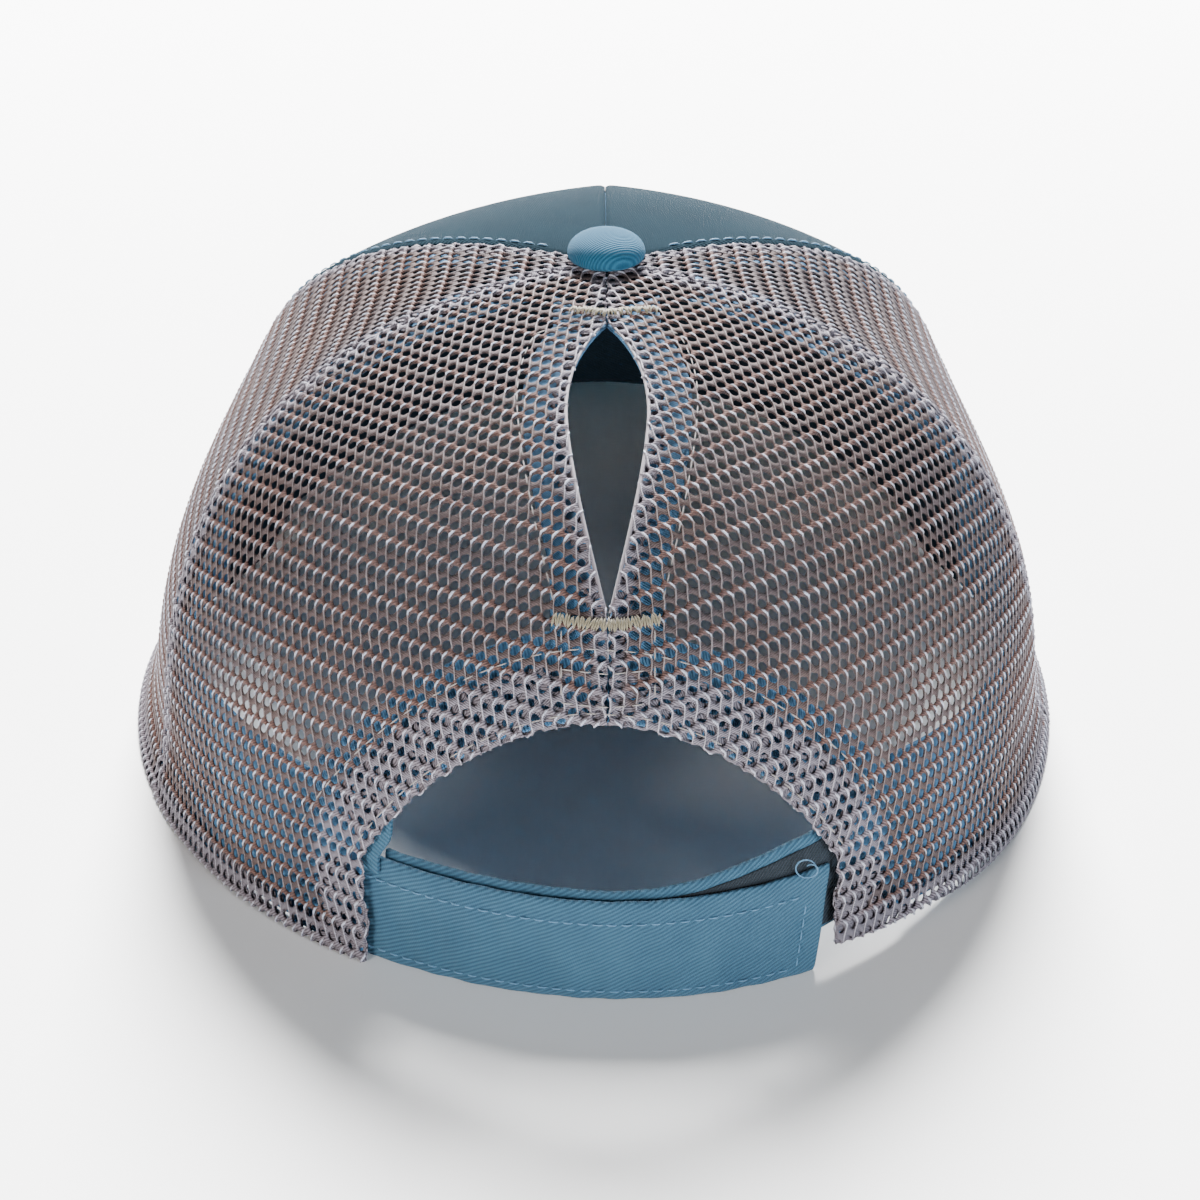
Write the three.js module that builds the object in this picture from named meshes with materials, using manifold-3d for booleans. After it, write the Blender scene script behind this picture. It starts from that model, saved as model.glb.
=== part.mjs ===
// A six-panel baseball cap for a ponytail: twill front panels and peak, knitted mesh side and back panels,
// a lens-shaped slit in the centre back seam, and a half-moon opening closed by a two-part strap.
// Millimetres, +Z up. The cap rests on its hem at z = 0, the peak points towards -Y,
// and +X is the wearer's left.
import * as THREE from "three";
import { mergeVertices } from "three/addons/utils/BufferGeometryUtils.js";
import Module from "manifold-3d";

const wasm = await Module();
wasm.setup();

// Clearance between neighbouring pieces, and thicknesses of the cloths
const GAP = 0.3;
const PANEL_THICKNESS = 1.2;
const TAPE_THICKNESS = 1.0;
const SWEATBAND_THICKNESS = 1.2;
const STRAP_THICKNESS = 1.2;

// Crown
const CROWN_HALF_WIDTH = 86.5;
const CROWN_BACK_REACH = 100.8;
const CROWN_FRONT_REACH = 98;
const CROWN_HEIGHT = 91;
const CROWN_SQUARENESS = 2.75; // exponent of the superellipse from hem to top: 2 is round, more is boxy
const CROWN_TAPER = 0.02; // share of the plan lost towards the top, on top of the rounding
const CROWN_TOP_FORWARD = 2; // the top sits this far in front of the hem's widest line
const HEM_FLARE = 4.1; // the hem kicks out by this much at the sides
const FLARE_HEIGHT = 14;
const SEAM_LEAN = 2.4; // the centre seams sit this far to the wearer's right
// Share of the radius lost in the middle of a panel near the top, and how soon it fades towards the hem
const BACK_FLATTENING = 0.08;
const SIDE_FLATTENING = 0.14;
const FRONT_FLATTENING = 0.07;
const FLATTENING_FADE = 1.5;
const BUTTON_HOLE_RADIUS = 2.2; // where the panels stop, under the button

// Peak, bent as a cylinder about the Y axis, with its underside on the floor at its widest
const PEAK_REACH = 70;
const PEAK_HALF_WIDTH = 84;
const PEAK_THICKNESS = 3;
const PEAK_RISE = 19; // height of the underside at the centre line
const PEAK_SQUARENESS = 2.3;
const PEAK_END_ANGLE = 118; // plan angle from the centre back where the peak's ends are sewn in
const HEM_LIFT_START = 96; // plan angle where the hem starts to climb towards the peak
const HEM_LIFT_RIGHT = 4; // the hem's corner at the opening's right end sits this much higher
const HEM_LIFT_SPAN = 36; // degrees of plan over which that corner comes down again
const HEM_LIFT_CENTRE = -26;

// Half-moon opening, as it shows along Y
const ARCH_CENTRE_X = -1.2;
const ARCH_HEIGHT = 50;
const ARCH_HALF_WIDTH = 40.5;
const ARCH_SHOULDER = 5.5; // the arch's curve would reach this far past the straight sides
const ARCH_SQUARENESS = 1.75;
const ARCH_TAPE_WIDTH = 11;
const ARCH_STEPS = 22;
const CUT_CLEARANCE = 5; // how far the cutters run past the hem

// Ponytail slit, a lens laid on the sloping back wall
const SLIT_BOTTOM_Z = 65;
const SLIT_TOP_RADIUS = 21.5; // distance of its upper end from the apex
const SLIT_WIDTH = 13.8;
const SLIT_WIDEST_SHARE = 0.58; // from its bottom
const SLIT_FULLNESS = 1.6;
const SLIT_TAPE_WIDTH = 10.5;
const SLIT_STEPS = 16;
const SLIT_CUT_REACH = 25; // of its cutter, to each side of the wall

// Seam tapes and sweatband
const TAPE_WIDTH = 12;
const TAPE_TOP_RADIUS = 19; // distance from the apex where the tapes stop
const BACK_TAPE_SPAN = 48; // degrees of plan, to each side, that the back tapes are cut from
const SWEATBAND_HEIGHT = 30;
const DIP_SPAN = 12; // degrees of plan over which its bottom edge dips behind the peak

// Strap: the outer tab is sewn in at the wearer's left, the inner tab at the right
const STRAP_WIDTH = 19.5;
const STRAP_SEAM_OVERLAP = 8; // length of a tab's sewn end behind the edge tape
const STRAP_END_CLEARANCE = 0.8; // from the outer tab's free end to the opening's edge
const STRAP_END_SLANT = 2.5;
const STRAP_SHIFT_START = 0.1; // shares of its length between which the outer tab moves outwards
const STRAP_SHIFT_END = 0.9;
const LOOP_END_CLEARANCE = 1.5;
const LOOP_RISE = 6; // the inner tab climbs by this much to its sewn end
const LOOP_RISE_START = 0.5; // share of its length where it starts to climb
const LOOP_LIFT = 1; // its lower edge at the free end

// Button
const BUTTON_RADIUS = 7.3;
const BUTTON_HEIGHT = 5.2;
const BUTTON_SIDE_HEIGHT = 1.8;
const BUTTON_UNDERSIDE_SHARE = 0.96; // of the radius
const BUTTON_DOME_STEPS = 6;
const BUTTON_FACETS = 20;
const RIVET_RADIUS = BUTTON_HOLE_RADIUS * (1 - SIDE_FLATTENING) - GAP; // clear of the flattest panels
const RIVET_LENGTH = PANEL_THICKNESS + 1;

// Grids of the faceted solids: the rows are closer together low down, where the hem flares
const COLUMN_SPAN = 6.5; // degrees of plan
const LOW_ROWS = 4;
const HIGH_ROWS = 14;
const LOW_ROWS_HEIGHT = 20;
const SWEATBAND_COLUMNS = 56;
const SWEATBAND_ROWS = 6;
const TAB_COLUMNS = 22;
const TAB_ROWS = 4;
const PEAK_COLUMNS = 28;
const PEAK_ROWS = 6;

// Depths below the crown's outer face
const BEHIND_PANEL = PANEL_THICKNESS + GAP;
const BEHIND_TAPE = BEHIND_PANEL + TAPE_THICKNESS + GAP;
const STRAP_FREE_DEPTH = BEHIND_TAPE - STRAP_THICKNESS - GAP; // free end of the outer tab, over the inner tab

// Plan angles in degrees of each seam, 0 at the centre back and positive to the wearer's left
const SEAMS = {
  centre_back: { top: 0, hem: 0 },
  side_back_left: { top: 68.5, hem: 68.5 },
  side_back_right: { top: -68.5, hem: -81 },
  side_front_left: { top: 112, hem: 126 },
  side_front_right: { top: -112, hem: -126 },
  centre_front_left: { top: 180, hem: 180 },
  centre_front_right: { top: -180, hem: -180 },
};
const KINDS = {
  back: { cloth: "mesh", flattening: BACK_FLATTENING },
  side: { cloth: "mesh", flattening: SIDE_FLATTENING },
  front: { cloth: "twill", flattening: FRONT_FLATTENING },
};
const PANELS = [
  { name: "back_mesh_left", from: SEAMS.centre_back, to: SEAMS.side_back_left, kind: KINDS.back },
  { name: "side_mesh_left", from: SEAMS.side_back_left, to: SEAMS.side_front_left, kind: KINDS.side },
  { name: "front_panel_left", from: SEAMS.side_front_left, to: SEAMS.centre_front_left, kind: KINDS.front },
  { name: "back_mesh_right", from: SEAMS.centre_back, to: SEAMS.side_back_right, kind: KINDS.back },
  { name: "side_mesh_right", from: SEAMS.side_back_right, to: SEAMS.side_front_right, kind: KINDS.side },
  { name: "front_panel_right", from: SEAMS.side_front_right, to: SEAMS.centre_front_right, kind: KINDS.front },
];

const MATERIALS = {
  twill: new THREE.MeshStandardMaterial({ color: 0x5d8795, roughness: 0.85, metalness: 0 }),
  mesh: new THREE.MeshStandardMaterial({ color: 0xb7a6a8, roughness: 0.75, metalness: 0 }),
  tape: new THREE.MeshStandardMaterial({ color: 0x4b7a96, roughness: 0.9, metalness: 0 }),
};

const radians = THREE.MathUtils.degToRad;
const smoothstep = THREE.MathUtils.smoothstep;
const lerp = THREE.MathUtils.lerp;

// The crown's surface

// 0 along the free hem, 1 where the peak holds it up and straight
function frontLift(angle) {
  return smoothstep(Math.abs(angle), HEM_LIFT_START, PEAK_END_ANGLE);
}

function seamAngle(seam, level) {
  return lerp(seam.hem, seam.top, level);
}

// Share of the radius lost at this angle: most in the middle of its panel, none at the seams
function flatteningAt(angle, level) {
  for (const { from, to, kind } of PANELS) {
    const start = seamAngle(from, level);
    const end = seamAngle(to, level);
    if ((angle - start) * (angle - end) <= 0) {
      const across = (2 * angle - start - end) / (end - start);
      return kind.flattening * Math.pow(level, FLATTENING_FADE) * (1 - across * across);
    }
  }
  return 0;
}

// A point of the crown's outer face before any panel is flattened, or with the panels flattened
function outerPoint(angle, z, flattened) {
  const level = Math.max(0, Math.min(1, z / CROWN_HEIGHT));
  const rounding = Math.pow(1 - Math.pow(level, CROWN_SQUARENESS), 1 / CROWN_SQUARENESS);
  const share = rounding * (1 - CROWN_TAPER * level) * (1 - (flattened ? flatteningAt(angle, level) : 0));
  const turn = radians(angle);
  const sideways = Math.sin(turn) * Math.sin(turn) * (1 - frontLift(angle));
  const flare = HEM_FLARE * sideways * Math.pow(Math.max(0, 1 - z / FLARE_HEIGHT), 2);
  const reach = Math.cos(turn) > 0 ? CROWN_BACK_REACH : CROWN_FRONT_REACH;
  const x = (CROWN_HALF_WIDTH * share + flare) * Math.sin(turn);
  const y = (reach * share + flare) * Math.cos(turn) - CROWN_TOP_FORWARD * level;
  const side = x / (CROWN_HALF_WIDTH + HEM_FLARE);
  return new THREE.Vector3(x - SEAM_LEAN * (1 - side * side), y, z);
}

// Outward direction of the unflattened crown, level at the hem so that the hem's edge stays flat
function outwardAt(angle, z) {
  const step = 0.5;
  const height = Math.min(z, CROWN_HEIGHT * 0.9995 - step);
  const here = outerPoint(angle, height, false);
  const along = outerPoint(angle + step, height, false).sub(here);
  const up = outerPoint(angle, height + step, false).sub(here);
  const out = along.cross(up).normalize();
  if (out.dot(here) < 0) out.negate();
  out.z *= smoothstep(z, 0, FLARE_HEIGHT);
  return out.normalize();
}

// Point at a depth below the crown's outer face
function crownPoint(angle, z, depth = 0) {
  return outerPoint(angle, z, true).addScaledVector(outwardAt(angle, z), -depth);
}

// The superellipse's own angle, which spaces the rows evenly from hem to top
function heightAtSweep(sweep) {
  return CROWN_HEIGHT * Math.pow(Math.sin(sweep), 2 / CROWN_SQUARENESS);
}

function sweepAtHeight(z) {
  return Math.asin(Math.pow(Math.min(1, z / CROWN_HEIGHT), CROWN_SQUARENESS / 2));
}

function sweepAtRadius(radius) {
  return Math.acos(Math.pow(radius / CROWN_HALF_WIDTH, CROWN_SQUARENESS / 2));
}

// Heights of a panel's rows, from the hem to the hole under the button
function panelHeights(bottom) {
  const heights = [];
  for (let row = 0; row < LOW_ROWS; row += 1) heights.push(bottom + (LOW_ROWS_HEIGHT * row) / LOW_ROWS);
  const low = sweepAtHeight(bottom + LOW_ROWS_HEIGHT);
  const high = sweepAtRadius(BUTTON_HOLE_RADIUS);
  for (let row = 0; row <= HIGH_ROWS; row += 1) heights.push(heightAtSweep(lerp(low, high, row / HIGH_ROWS)));
  return heights;
}

// Heights of a tape's rows: those of the panel it lies on, between its own two ends
function tapeHeights(bottom, start) {
  const top = heightAtSweep(sweepAtRadius(TAPE_TOP_RADIUS));
  const shortest = GAP;
  const between = panelHeights(bottom).filter((z) => z > start + shortest && z < top - shortest);
  return [start, ...between, top];
}

// Degrees of plan that a width spans on the crown at this place
function spanOfWidth(width, angle, z) {
  return width / outerPoint(angle + 0.5, z, false).distanceTo(outerPoint(angle - 0.5, z, false));
}

// Plan angle, in degrees, of the crown's point with this x and depth on its back half
function angleAtX(x, z, depth = 0) {
  let low = -90;
  let high = 90;
  for (let turn = 0; turn < 40; turn += 1) {
    const middle = (low + high) / 2;
    if (crownPoint(middle, z, depth).x < x) low = middle;
    else high = middle;
  }
  return (low + high) / 2;
}

// The peak's underside and the hem that climbs to meet its top

function peakUnderside(x) {
  const radius = (PEAK_HALF_WIDTH * PEAK_HALF_WIDTH + PEAK_RISE * PEAK_RISE) / (2 * PEAK_RISE);
  const side = Math.min(Math.abs(x), PEAK_HALF_WIDTH);
  return PEAK_RISE - (radius - Math.sqrt(radius * radius - side * side));
}

function cornerLift(angle) {
  const away = Math.min(1, Math.abs(angle - HEM_LIFT_CENTRE) / HEM_LIFT_SPAN);
  return HEM_LIFT_RIGHT * Math.pow(Math.cos((away * Math.PI) / 2), 2);
}

// Height of the panels' bottom edge, which stands on the peak in front.
// The edge's own height shifts it sideways a little, so it is found in a few passes.
function hemHeight(angle, aboveUnderside = PEAK_THICKNESS + GAP) {
  let z = 0;
  for (let pass = 0; pass < 3; pass += 1) {
    const x = crownPoint(angle, z, PANEL_THICKNESS).x;
    z = frontLift(angle) * (peakUnderside(x) + aboveUnderside) + cornerLift(angle);
  }
  return z;
}

// The sweatband's bottom edge dips behind the peak and hides its sewn edge
function sweatbandBottom(angle) {
  const dip = smoothstep(Math.abs(angle), PEAK_END_ANGLE, PEAK_END_ANGLE + DIP_SPAN);
  return lerp(hemHeight(angle), hemHeight(angle, 0), dip);
}

// Solids

function geometryFrom(positions, triangles) {
  const geometry = new THREE.BufferGeometry();
  geometry.setAttribute("position", new THREE.Float32BufferAttribute(positions, 3));
  geometry.setIndex(triangles);
  return geometry;
}

function signedVolume(points, triangles) {
  let sum = 0;
  for (let t = 0; t < triangles.length; t += 3) {
    const [a, b, c] = [0, 1, 2].map((k) => points[triangles[t + k]]);
    sum += a.dot(b.clone().cross(c));
  }
  return sum;
}

// A closed wall between two grids of points, each a function of two shares from 0 to 1
function wall(columns, rows, outer, inner) {
  const points = [];
  const width = columns + 1;
  for (const side of [outer, inner])
    for (let row = 0; row <= rows; row += 1)
      for (let column = 0; column <= columns; column += 1) points.push(side(column / columns, row / rows));
  const at = (layer, column, row) => layer * width * (rows + 1) + row * width + column;
  const triangles = [];
  const quad = (a, b, c, d) => triangles.push(a, b, c, a, c, d);
  for (let row = 0; row < rows; row += 1)
    for (let column = 0; column < columns; column += 1) {
      quad(at(0, column, row), at(0, column + 1, row), at(0, column + 1, row + 1), at(0, column, row + 1));
      quad(at(1, column, row), at(1, column, row + 1), at(1, column + 1, row + 1), at(1, column + 1, row));
    }
  for (let column = 0; column < columns; column += 1) {
    quad(at(0, column, 0), at(1, column, 0), at(1, column + 1, 0), at(0, column + 1, 0));
    quad(at(0, column, rows), at(0, column + 1, rows), at(1, column + 1, rows), at(1, column, rows));
  }
  for (let row = 0; row < rows; row += 1) {
    quad(at(0, 0, row), at(0, 0, row + 1), at(1, 0, row + 1), at(1, 0, row));
    quad(at(0, columns, row), at(1, columns, row), at(1, columns, row + 1), at(0, columns, row + 1));
  }
  if (signedVolume(points, triangles) < 0)
    for (let t = 0; t < triangles.length; t += 3)
      [triangles[t + 1], triangles[t + 2]] = [triangles[t + 2], triangles[t + 1]];
  return geometryFrom(points.flatMap((p) => p.toArray()), triangles);
}

function solidOf(geometry) {
  const bare = geometry.clone();
  bare.deleteAttribute("normal");
  bare.deleteAttribute("uv");
  const merged = mergeVertices(bare, 1e-4);
  return new wasm.Manifold(
    new wasm.Mesh({
      numProp: 3,
      vertProperties: merged.attributes.position.array,
      triVerts: new Uint32Array(merged.index.array),
    }),
  );
}

function geometryOf(solid) {
  const mesh = solid.getMesh();
  return geometryFrom(Array.from(mesh.vertProperties), Array.from(mesh.triVerts));
}

// Cutters

// The half-moon's outline, grown outwards all round, from the floor up and down again
function archOutline(grow) {
  const curveHalfWidth = ARCH_HALF_WIDTH + ARCH_SHOULDER + grow;
  const sideX = ARCH_HALF_WIDTH + grow;
  const height = ARCH_HEIGHT + grow;
  const outline = [new THREE.Vector2(ARCH_CENTRE_X + sideX, -CUT_CLEARANCE)];
  for (let step = 0; step <= ARCH_STEPS; step += 1) {
    const across = sideX * Math.cos((Math.PI * step) / ARCH_STEPS);
    const share = Math.abs(across) / curveHalfWidth;
    const rise = height * Math.pow(1 - Math.pow(share, ARCH_SQUARENESS), 1 / ARCH_SQUARENESS);
    outline.push(new THREE.Vector2(ARCH_CENTRE_X + across, rise));
  }
  outline.push(new THREE.Vector2(ARCH_CENTRE_X - sideX, -CUT_CLEARANCE));
  return outline;
}

// A prism through the back wall, along Y, of an outline in X and Z
function backPrism(outline) {
  const start = CROWN_BACK_REACH + CUT_CLEARANCE;
  const geometry = new THREE.ExtrudeGeometry(new THREE.Shape(outline), { depth: start, bevelEnabled: false });
  geometry.rotateX(Math.PI / 2);
  geometry.translate(0, start, 0);
  return solidOf(geometry);
}

// The slit's frame: its two ends on the wall, the way up the wall and the way through it
const slitBottom = outerPoint(0, SLIT_BOTTOM_Z, true);
const slitTop = outerPoint(0, heightAtSweep(sweepAtRadius(SLIT_TOP_RADIUS)), true);
const slitLength = slitTop.distanceTo(slitBottom);
const slitUp = slitTop.clone().sub(slitBottom).normalize();
const slitAcross = new THREE.Vector3(1, 0, 0);
const slitIn = slitAcross.clone().cross(slitUp);

// The lens, grown outwards all round
function slitOutline(grow) {
  const right = [];
  const left = [];
  for (let step = 0; step <= SLIT_STEPS; step += 1) {
    const share = step / SLIT_STEPS;
    const span = share < SLIT_WIDEST_SHARE ? SLIT_WIDEST_SHARE : 1 - SLIT_WIDEST_SHARE;
    const away = Math.abs(share - SLIT_WIDEST_SHARE) / span;
    const half = (SLIT_WIDTH / 2) * (1 - Math.pow(away, SLIT_FULLNESS)) + grow;
    const along = share * slitLength;
    if (half > 0) {
      right.push(new THREE.Vector2(half, along));
      left.unshift(new THREE.Vector2(-half, along));
    } else {
      right.push(new THREE.Vector2(0, along));
    }
  }
  return [...right, ...left];
}

// A prism through the sloping wall, square to the slit, of an outline across and up the wall
function slitPrism(outline) {
  const depth = 2 * SLIT_CUT_REACH;
  const geometry = new THREE.ExtrudeGeometry(new THREE.Shape(outline), { depth, bevelEnabled: false });
  const frame = new THREE.Matrix4().makeBasis(slitAcross, slitUp, slitIn);
  frame.setPosition(slitBottom.clone().addScaledVector(slitIn, -SLIT_CUT_REACH));
  geometry.applyMatrix4(frame);
  return solidOf(geometry);
}

// Panels

function panelPoint(panel, across, up, depth) {
  const rough = lerp(panel.from.hem, panel.to.hem, across);
  const heights = panelHeights(hemHeight(rough));
  const z = heights[Math.round(up * (heights.length - 1))];
  const level = z / CROWN_HEIGHT;
  const start = seamAngle(panel.from, level);
  const end = seamAngle(panel.to, level);
  const margin = spanOfWidth(GAP / 2, (start + end) / 2, z) * Math.sign(end - start);
  return crownPoint(lerp(start + margin, end - margin, across), z, depth);
}

function panelGeometry(panel) {
  const span = Math.abs(panel.to.hem - panel.from.hem);
  return wall(
    Math.ceil(span / COLUMN_SPAN),
    LOW_ROWS + HIGH_ROWS,
    (across, up) => panelPoint(panel, across, up, 0),
    (across, up) => panelPoint(panel, across, up, PANEL_THICKNESS),
  );
}

function makePanel(panel) {
  if (panel.from !== SEAMS.centre_back) return panelGeometry(panel);
  const openings = backPrism(archOutline(0)).add(slitPrism(slitOutline(0)));
  return geometryOf(solidOf(panelGeometry(panel)).subtract(openings));
}

// Tapes and sweatband

function tapeAlong(seam) {
  const start = sweatbandBottom(seam.hem) + SWEATBAND_HEIGHT + GAP;
  const heights = tapeHeights(hemHeight(seam.hem), start);
  const point = (across, up, depth) => {
    const z = heights[Math.round(up * (heights.length - 1))];
    const middle = seamAngle(seam, z / CROWN_HEIGHT);
    const half = spanOfWidth(TAPE_WIDTH / 2, middle, z);
    const angle = middle + (2 * across - 1) * half;
    return crownPoint(angle > 180 ? angle - 360 : angle, z, depth);
  };
  return wall(
    2,
    heights.length - 1,
    (across, up) => point(across, up, BEHIND_PANEL),
    (across, up) => point(across, up, BEHIND_PANEL + TAPE_THICKNESS),
  );
}

// The whole back wall at tape depth, from the hem to the tapes' tops
function backTapeWall(halfAngle) {
  const rows = tapeHeights(0, 0).length - 1;
  const point = (across, up, depth) => {
    const angle = lerp(-halfAngle, halfAngle, across);
    const bottom = hemHeight(angle);
    return crownPoint(angle, tapeHeights(bottom, bottom)[Math.round(up * rows)], depth);
  };
  return solidOf(
    wall(
      Math.ceil((2 * halfAngle) / COLUMN_SPAN),
      rows,
      (across, up) => point(across, up, BEHIND_PANEL),
      (across, up) => point(across, up, BEHIND_PANEL + TAPE_THICKNESS),
    ),
  );
}

const backTape = backTapeWall(BACK_TAPE_SPAN);

function makeArchTape() {
  const ring = backPrism(archOutline(ARCH_TAPE_WIDTH)).subtract(backPrism(archOutline(GAP)));
  return geometryOf(backTape.intersect(ring));
}

// The centre back tape widens round the slit and stops at the arch's tape
function makeCentreBackTape() {
  const half = TAPE_WIDTH / 2;
  const strip = backPrism([
    new THREE.Vector2(slitBottom.x + half, 0),
    new THREE.Vector2(slitBottom.x + half, CROWN_HEIGHT + GAP),
    new THREE.Vector2(slitBottom.x - half, CROWN_HEIGHT + GAP),
    new THREE.Vector2(slitBottom.x - half, 0),
  ]);
  return geometryOf(
    backTape
      .intersect(strip.add(slitPrism(slitOutline(SLIT_TAPE_WIDTH))))
      .subtract(slitPrism(slitOutline(GAP)))
      .subtract(backPrism(archOutline(ARCH_TAPE_WIDTH + GAP))),
  );
}

// Round the front from one end of the arch's tape to the other
function makeSweatband() {
  const endX = ARCH_HALF_WIDTH + ARCH_TAPE_WIDTH + GAP;
  const innerDepth = BEHIND_PANEL + SWEATBAND_THICKNESS;
  const angleAt = (around, z) => {
    const start = angleAtX(ARCH_CENTRE_X + endX, z, innerDepth);
    const end = 360 + angleAtX(ARCH_CENTRE_X - endX, z, innerDepth);
    const angle = lerp(start, end, around);
    return angle > 180 ? angle - 360 : angle;
  };
  const point = (around, up, depth) => {
    const z = sweatbandBottom(angleAt(around, 0)) + SWEATBAND_HEIGHT * up;
    return crownPoint(angleAt(around, z), z, depth);
  };
  return wall(
    SWEATBAND_COLUMNS,
    SWEATBAND_ROWS,
    (around, up) => point(around, up, BEHIND_PANEL),
    (around, up) => point(around, up, innerDepth),
  );
}

// Strap

// A tab along the back wall from its left end to its right end, with its depth and lower edge by length share
function tab(leftX, rightX, depthAt, bottomAt, slant) {
  const point = (along, up, extra) => {
    const z = bottomAt(along) + STRAP_WIDTH * up;
    const right = rightX - slant * (up - 1);
    return crownPoint(angleAtX(lerp(leftX, right, along), z), z, depthAt(along) + extra);
  };
  return wall(
    TAB_COLUMNS,
    TAB_ROWS,
    (along, up) => point(along, up, 0),
    (along, up) => point(along, up, STRAP_THICKNESS),
  );
}

const openingLeftX = ARCH_CENTRE_X + ARCH_HALF_WIDTH;
const openingRightX = ARCH_CENTRE_X - ARCH_HALF_WIDTH;

function strapDepth(along) {
  return lerp(BEHIND_TAPE, STRAP_FREE_DEPTH, smoothstep(along, STRAP_SHIFT_START, STRAP_SHIFT_END));
}

function makeStrapTab() {
  return tab(
    openingLeftX + STRAP_SEAM_OVERLAP,
    openingRightX + STRAP_END_CLEARANCE,
    strapDepth,
    () => 0,
    STRAP_END_SLANT,
  );
}

function makeLoopTab() {
  return tab(
    openingLeftX - LOOP_END_CLEARANCE,
    openingRightX - STRAP_SEAM_OVERLAP,
    (along) => strapDepth(along) + STRAP_THICKNESS + GAP,
    (along) => LOOP_LIFT + LOOP_RISE * smoothstep(along, LOOP_RISE_START, 1),
    0,
  );
}

// Peak

// Plan outline of the peak's outer edge, a share from -1 at the wearer's right end to 1 at the left
function peakEdge(share) {
  const sideY = crownPoint(PEAK_END_ANGLE, 0).y;
  const length = CROWN_FRONT_REACH + PEAK_REACH + sideY;
  const turn = (Math.abs(share) * Math.PI) / 2;
  const power = 2 / PEAK_SQUARENESS;
  const x = PEAK_HALF_WIDTH * Math.pow(Math.sin(turn), power) * Math.sign(share);
  return new THREE.Vector2(x, sideY - length * Math.pow(Math.max(0, Math.cos(turn)), power));
}

// The sewn edge lies under the front panels' hem, outside the sweatband
function peakSeam(share) {
  const angle = lerp(180, PEAK_END_ANGLE, Math.abs(share)) * (share < 0 ? -1 : 1);
  const point = crownPoint(angle, hemHeight(angle, 0), PANEL_THICKNESS);
  return new THREE.Vector2(point.x, point.y);
}

function makePeak() {
  const point = (across, out, thickness) => {
    const share = 2 * across - 1;
    const plan = peakSeam(share).lerp(peakEdge(share), out);
    return new THREE.Vector3(plan.x, plan.y, peakUnderside(plan.x) + thickness);
  };
  return wall(
    PEAK_COLUMNS,
    PEAK_ROWS,
    (across, out) => point(across, out, PEAK_THICKNESS),
    (across, out) => point(across, out, 0),
  );
}

// Button with its rivet

function makeButton() {
  const apex = outerPoint(180, CROWN_HEIGHT, false);
  const seat = CROWN_HEIGHT + GAP;
  const profile = [new THREE.Vector2(0, -RIVET_LENGTH), new THREE.Vector2(RIVET_RADIUS, -RIVET_LENGTH)];
  profile.push(new THREE.Vector2(RIVET_RADIUS, 0));
  profile.push(new THREE.Vector2(BUTTON_RADIUS * BUTTON_UNDERSIDE_SHARE, 0));
  for (let step = 0; step <= BUTTON_DOME_STEPS; step += 1) {
    const turn = ((Math.PI / 2) * step) / BUTTON_DOME_STEPS;
    const radius = step === BUTTON_DOME_STEPS ? 0 : BUTTON_RADIUS * Math.cos(turn);
    const rise = (BUTTON_HEIGHT - BUTTON_SIDE_HEIGHT) * Math.sin(turn);
    profile.push(new THREE.Vector2(radius, BUTTON_SIDE_HEIGHT + rise));
  }
  const geometry = new THREE.LatheGeometry(profile, BUTTON_FACETS);
  geometry.rotateX(Math.PI / 2);
  geometry.translate(apex.x, apex.y, seat);
  return geometryOf(solidOf(geometry));
}

// Assembly

const cap = new THREE.Group();
cap.name = "ponytail_cap";

function addPiece(name, geometry, material) {
  const mesh = new THREE.Mesh(geometry, material);
  mesh.name = name;
  cap.add(mesh);
}

for (const panel of PANELS) addPiece(panel.name, makePanel(panel), MATERIALS[panel.kind.cloth]);
addPiece("top_button", makeButton(), MATERIALS.twill);
addPiece("peak", makePeak(), MATERIALS.twill);
addPiece("sweatband", makeSweatband(), MATERIALS.tape);
addPiece("arch_tape", makeArchTape(), MATERIALS.tape);
addPiece("centre_back_tape", makeCentreBackTape(), MATERIALS.tape);
addPiece("side_back_tape_left", tapeAlong(SEAMS.side_back_left), MATERIALS.tape);
addPiece("side_back_tape_right", tapeAlong(SEAMS.side_back_right), MATERIALS.tape);
addPiece("side_front_tape_left", tapeAlong(SEAMS.side_front_left), MATERIALS.tape);
addPiece("side_front_tape_right", tapeAlong(SEAMS.side_front_right), MATERIALS.tape);
addPiece("centre_front_tape", tapeAlong(SEAMS.centre_front_left), MATERIALS.tape);
addPiece("strap_tab", makeStrapTab(), MATERIALS.twill);
addPiece("loop_tab", makeLoopTab(), MATERIALS.twill);

// The origin is the bottom centre of the whole cap's box
const middle = new THREE.Box3().setFromObject(cap).getCenter(new THREE.Vector3());
cap.position.set(-middle.x, -middle.y, 0);

export default cap;
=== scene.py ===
# %% [markdown]
# # A ponytail baseball cap
#
# The cap is all cloth: open knitted mesh at the sides and back, cotton twill in front, woven tapes inside,
# and a strap across the back opening. A CAD model gives each piece's place; here each piece is made again
# as the cloth it is, with its knit, its folded hems and its stitches. Lengths in the code are millimetres,
# because that is how a cap is cut and sewn, and they become metres when they go into a mesh.

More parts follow.
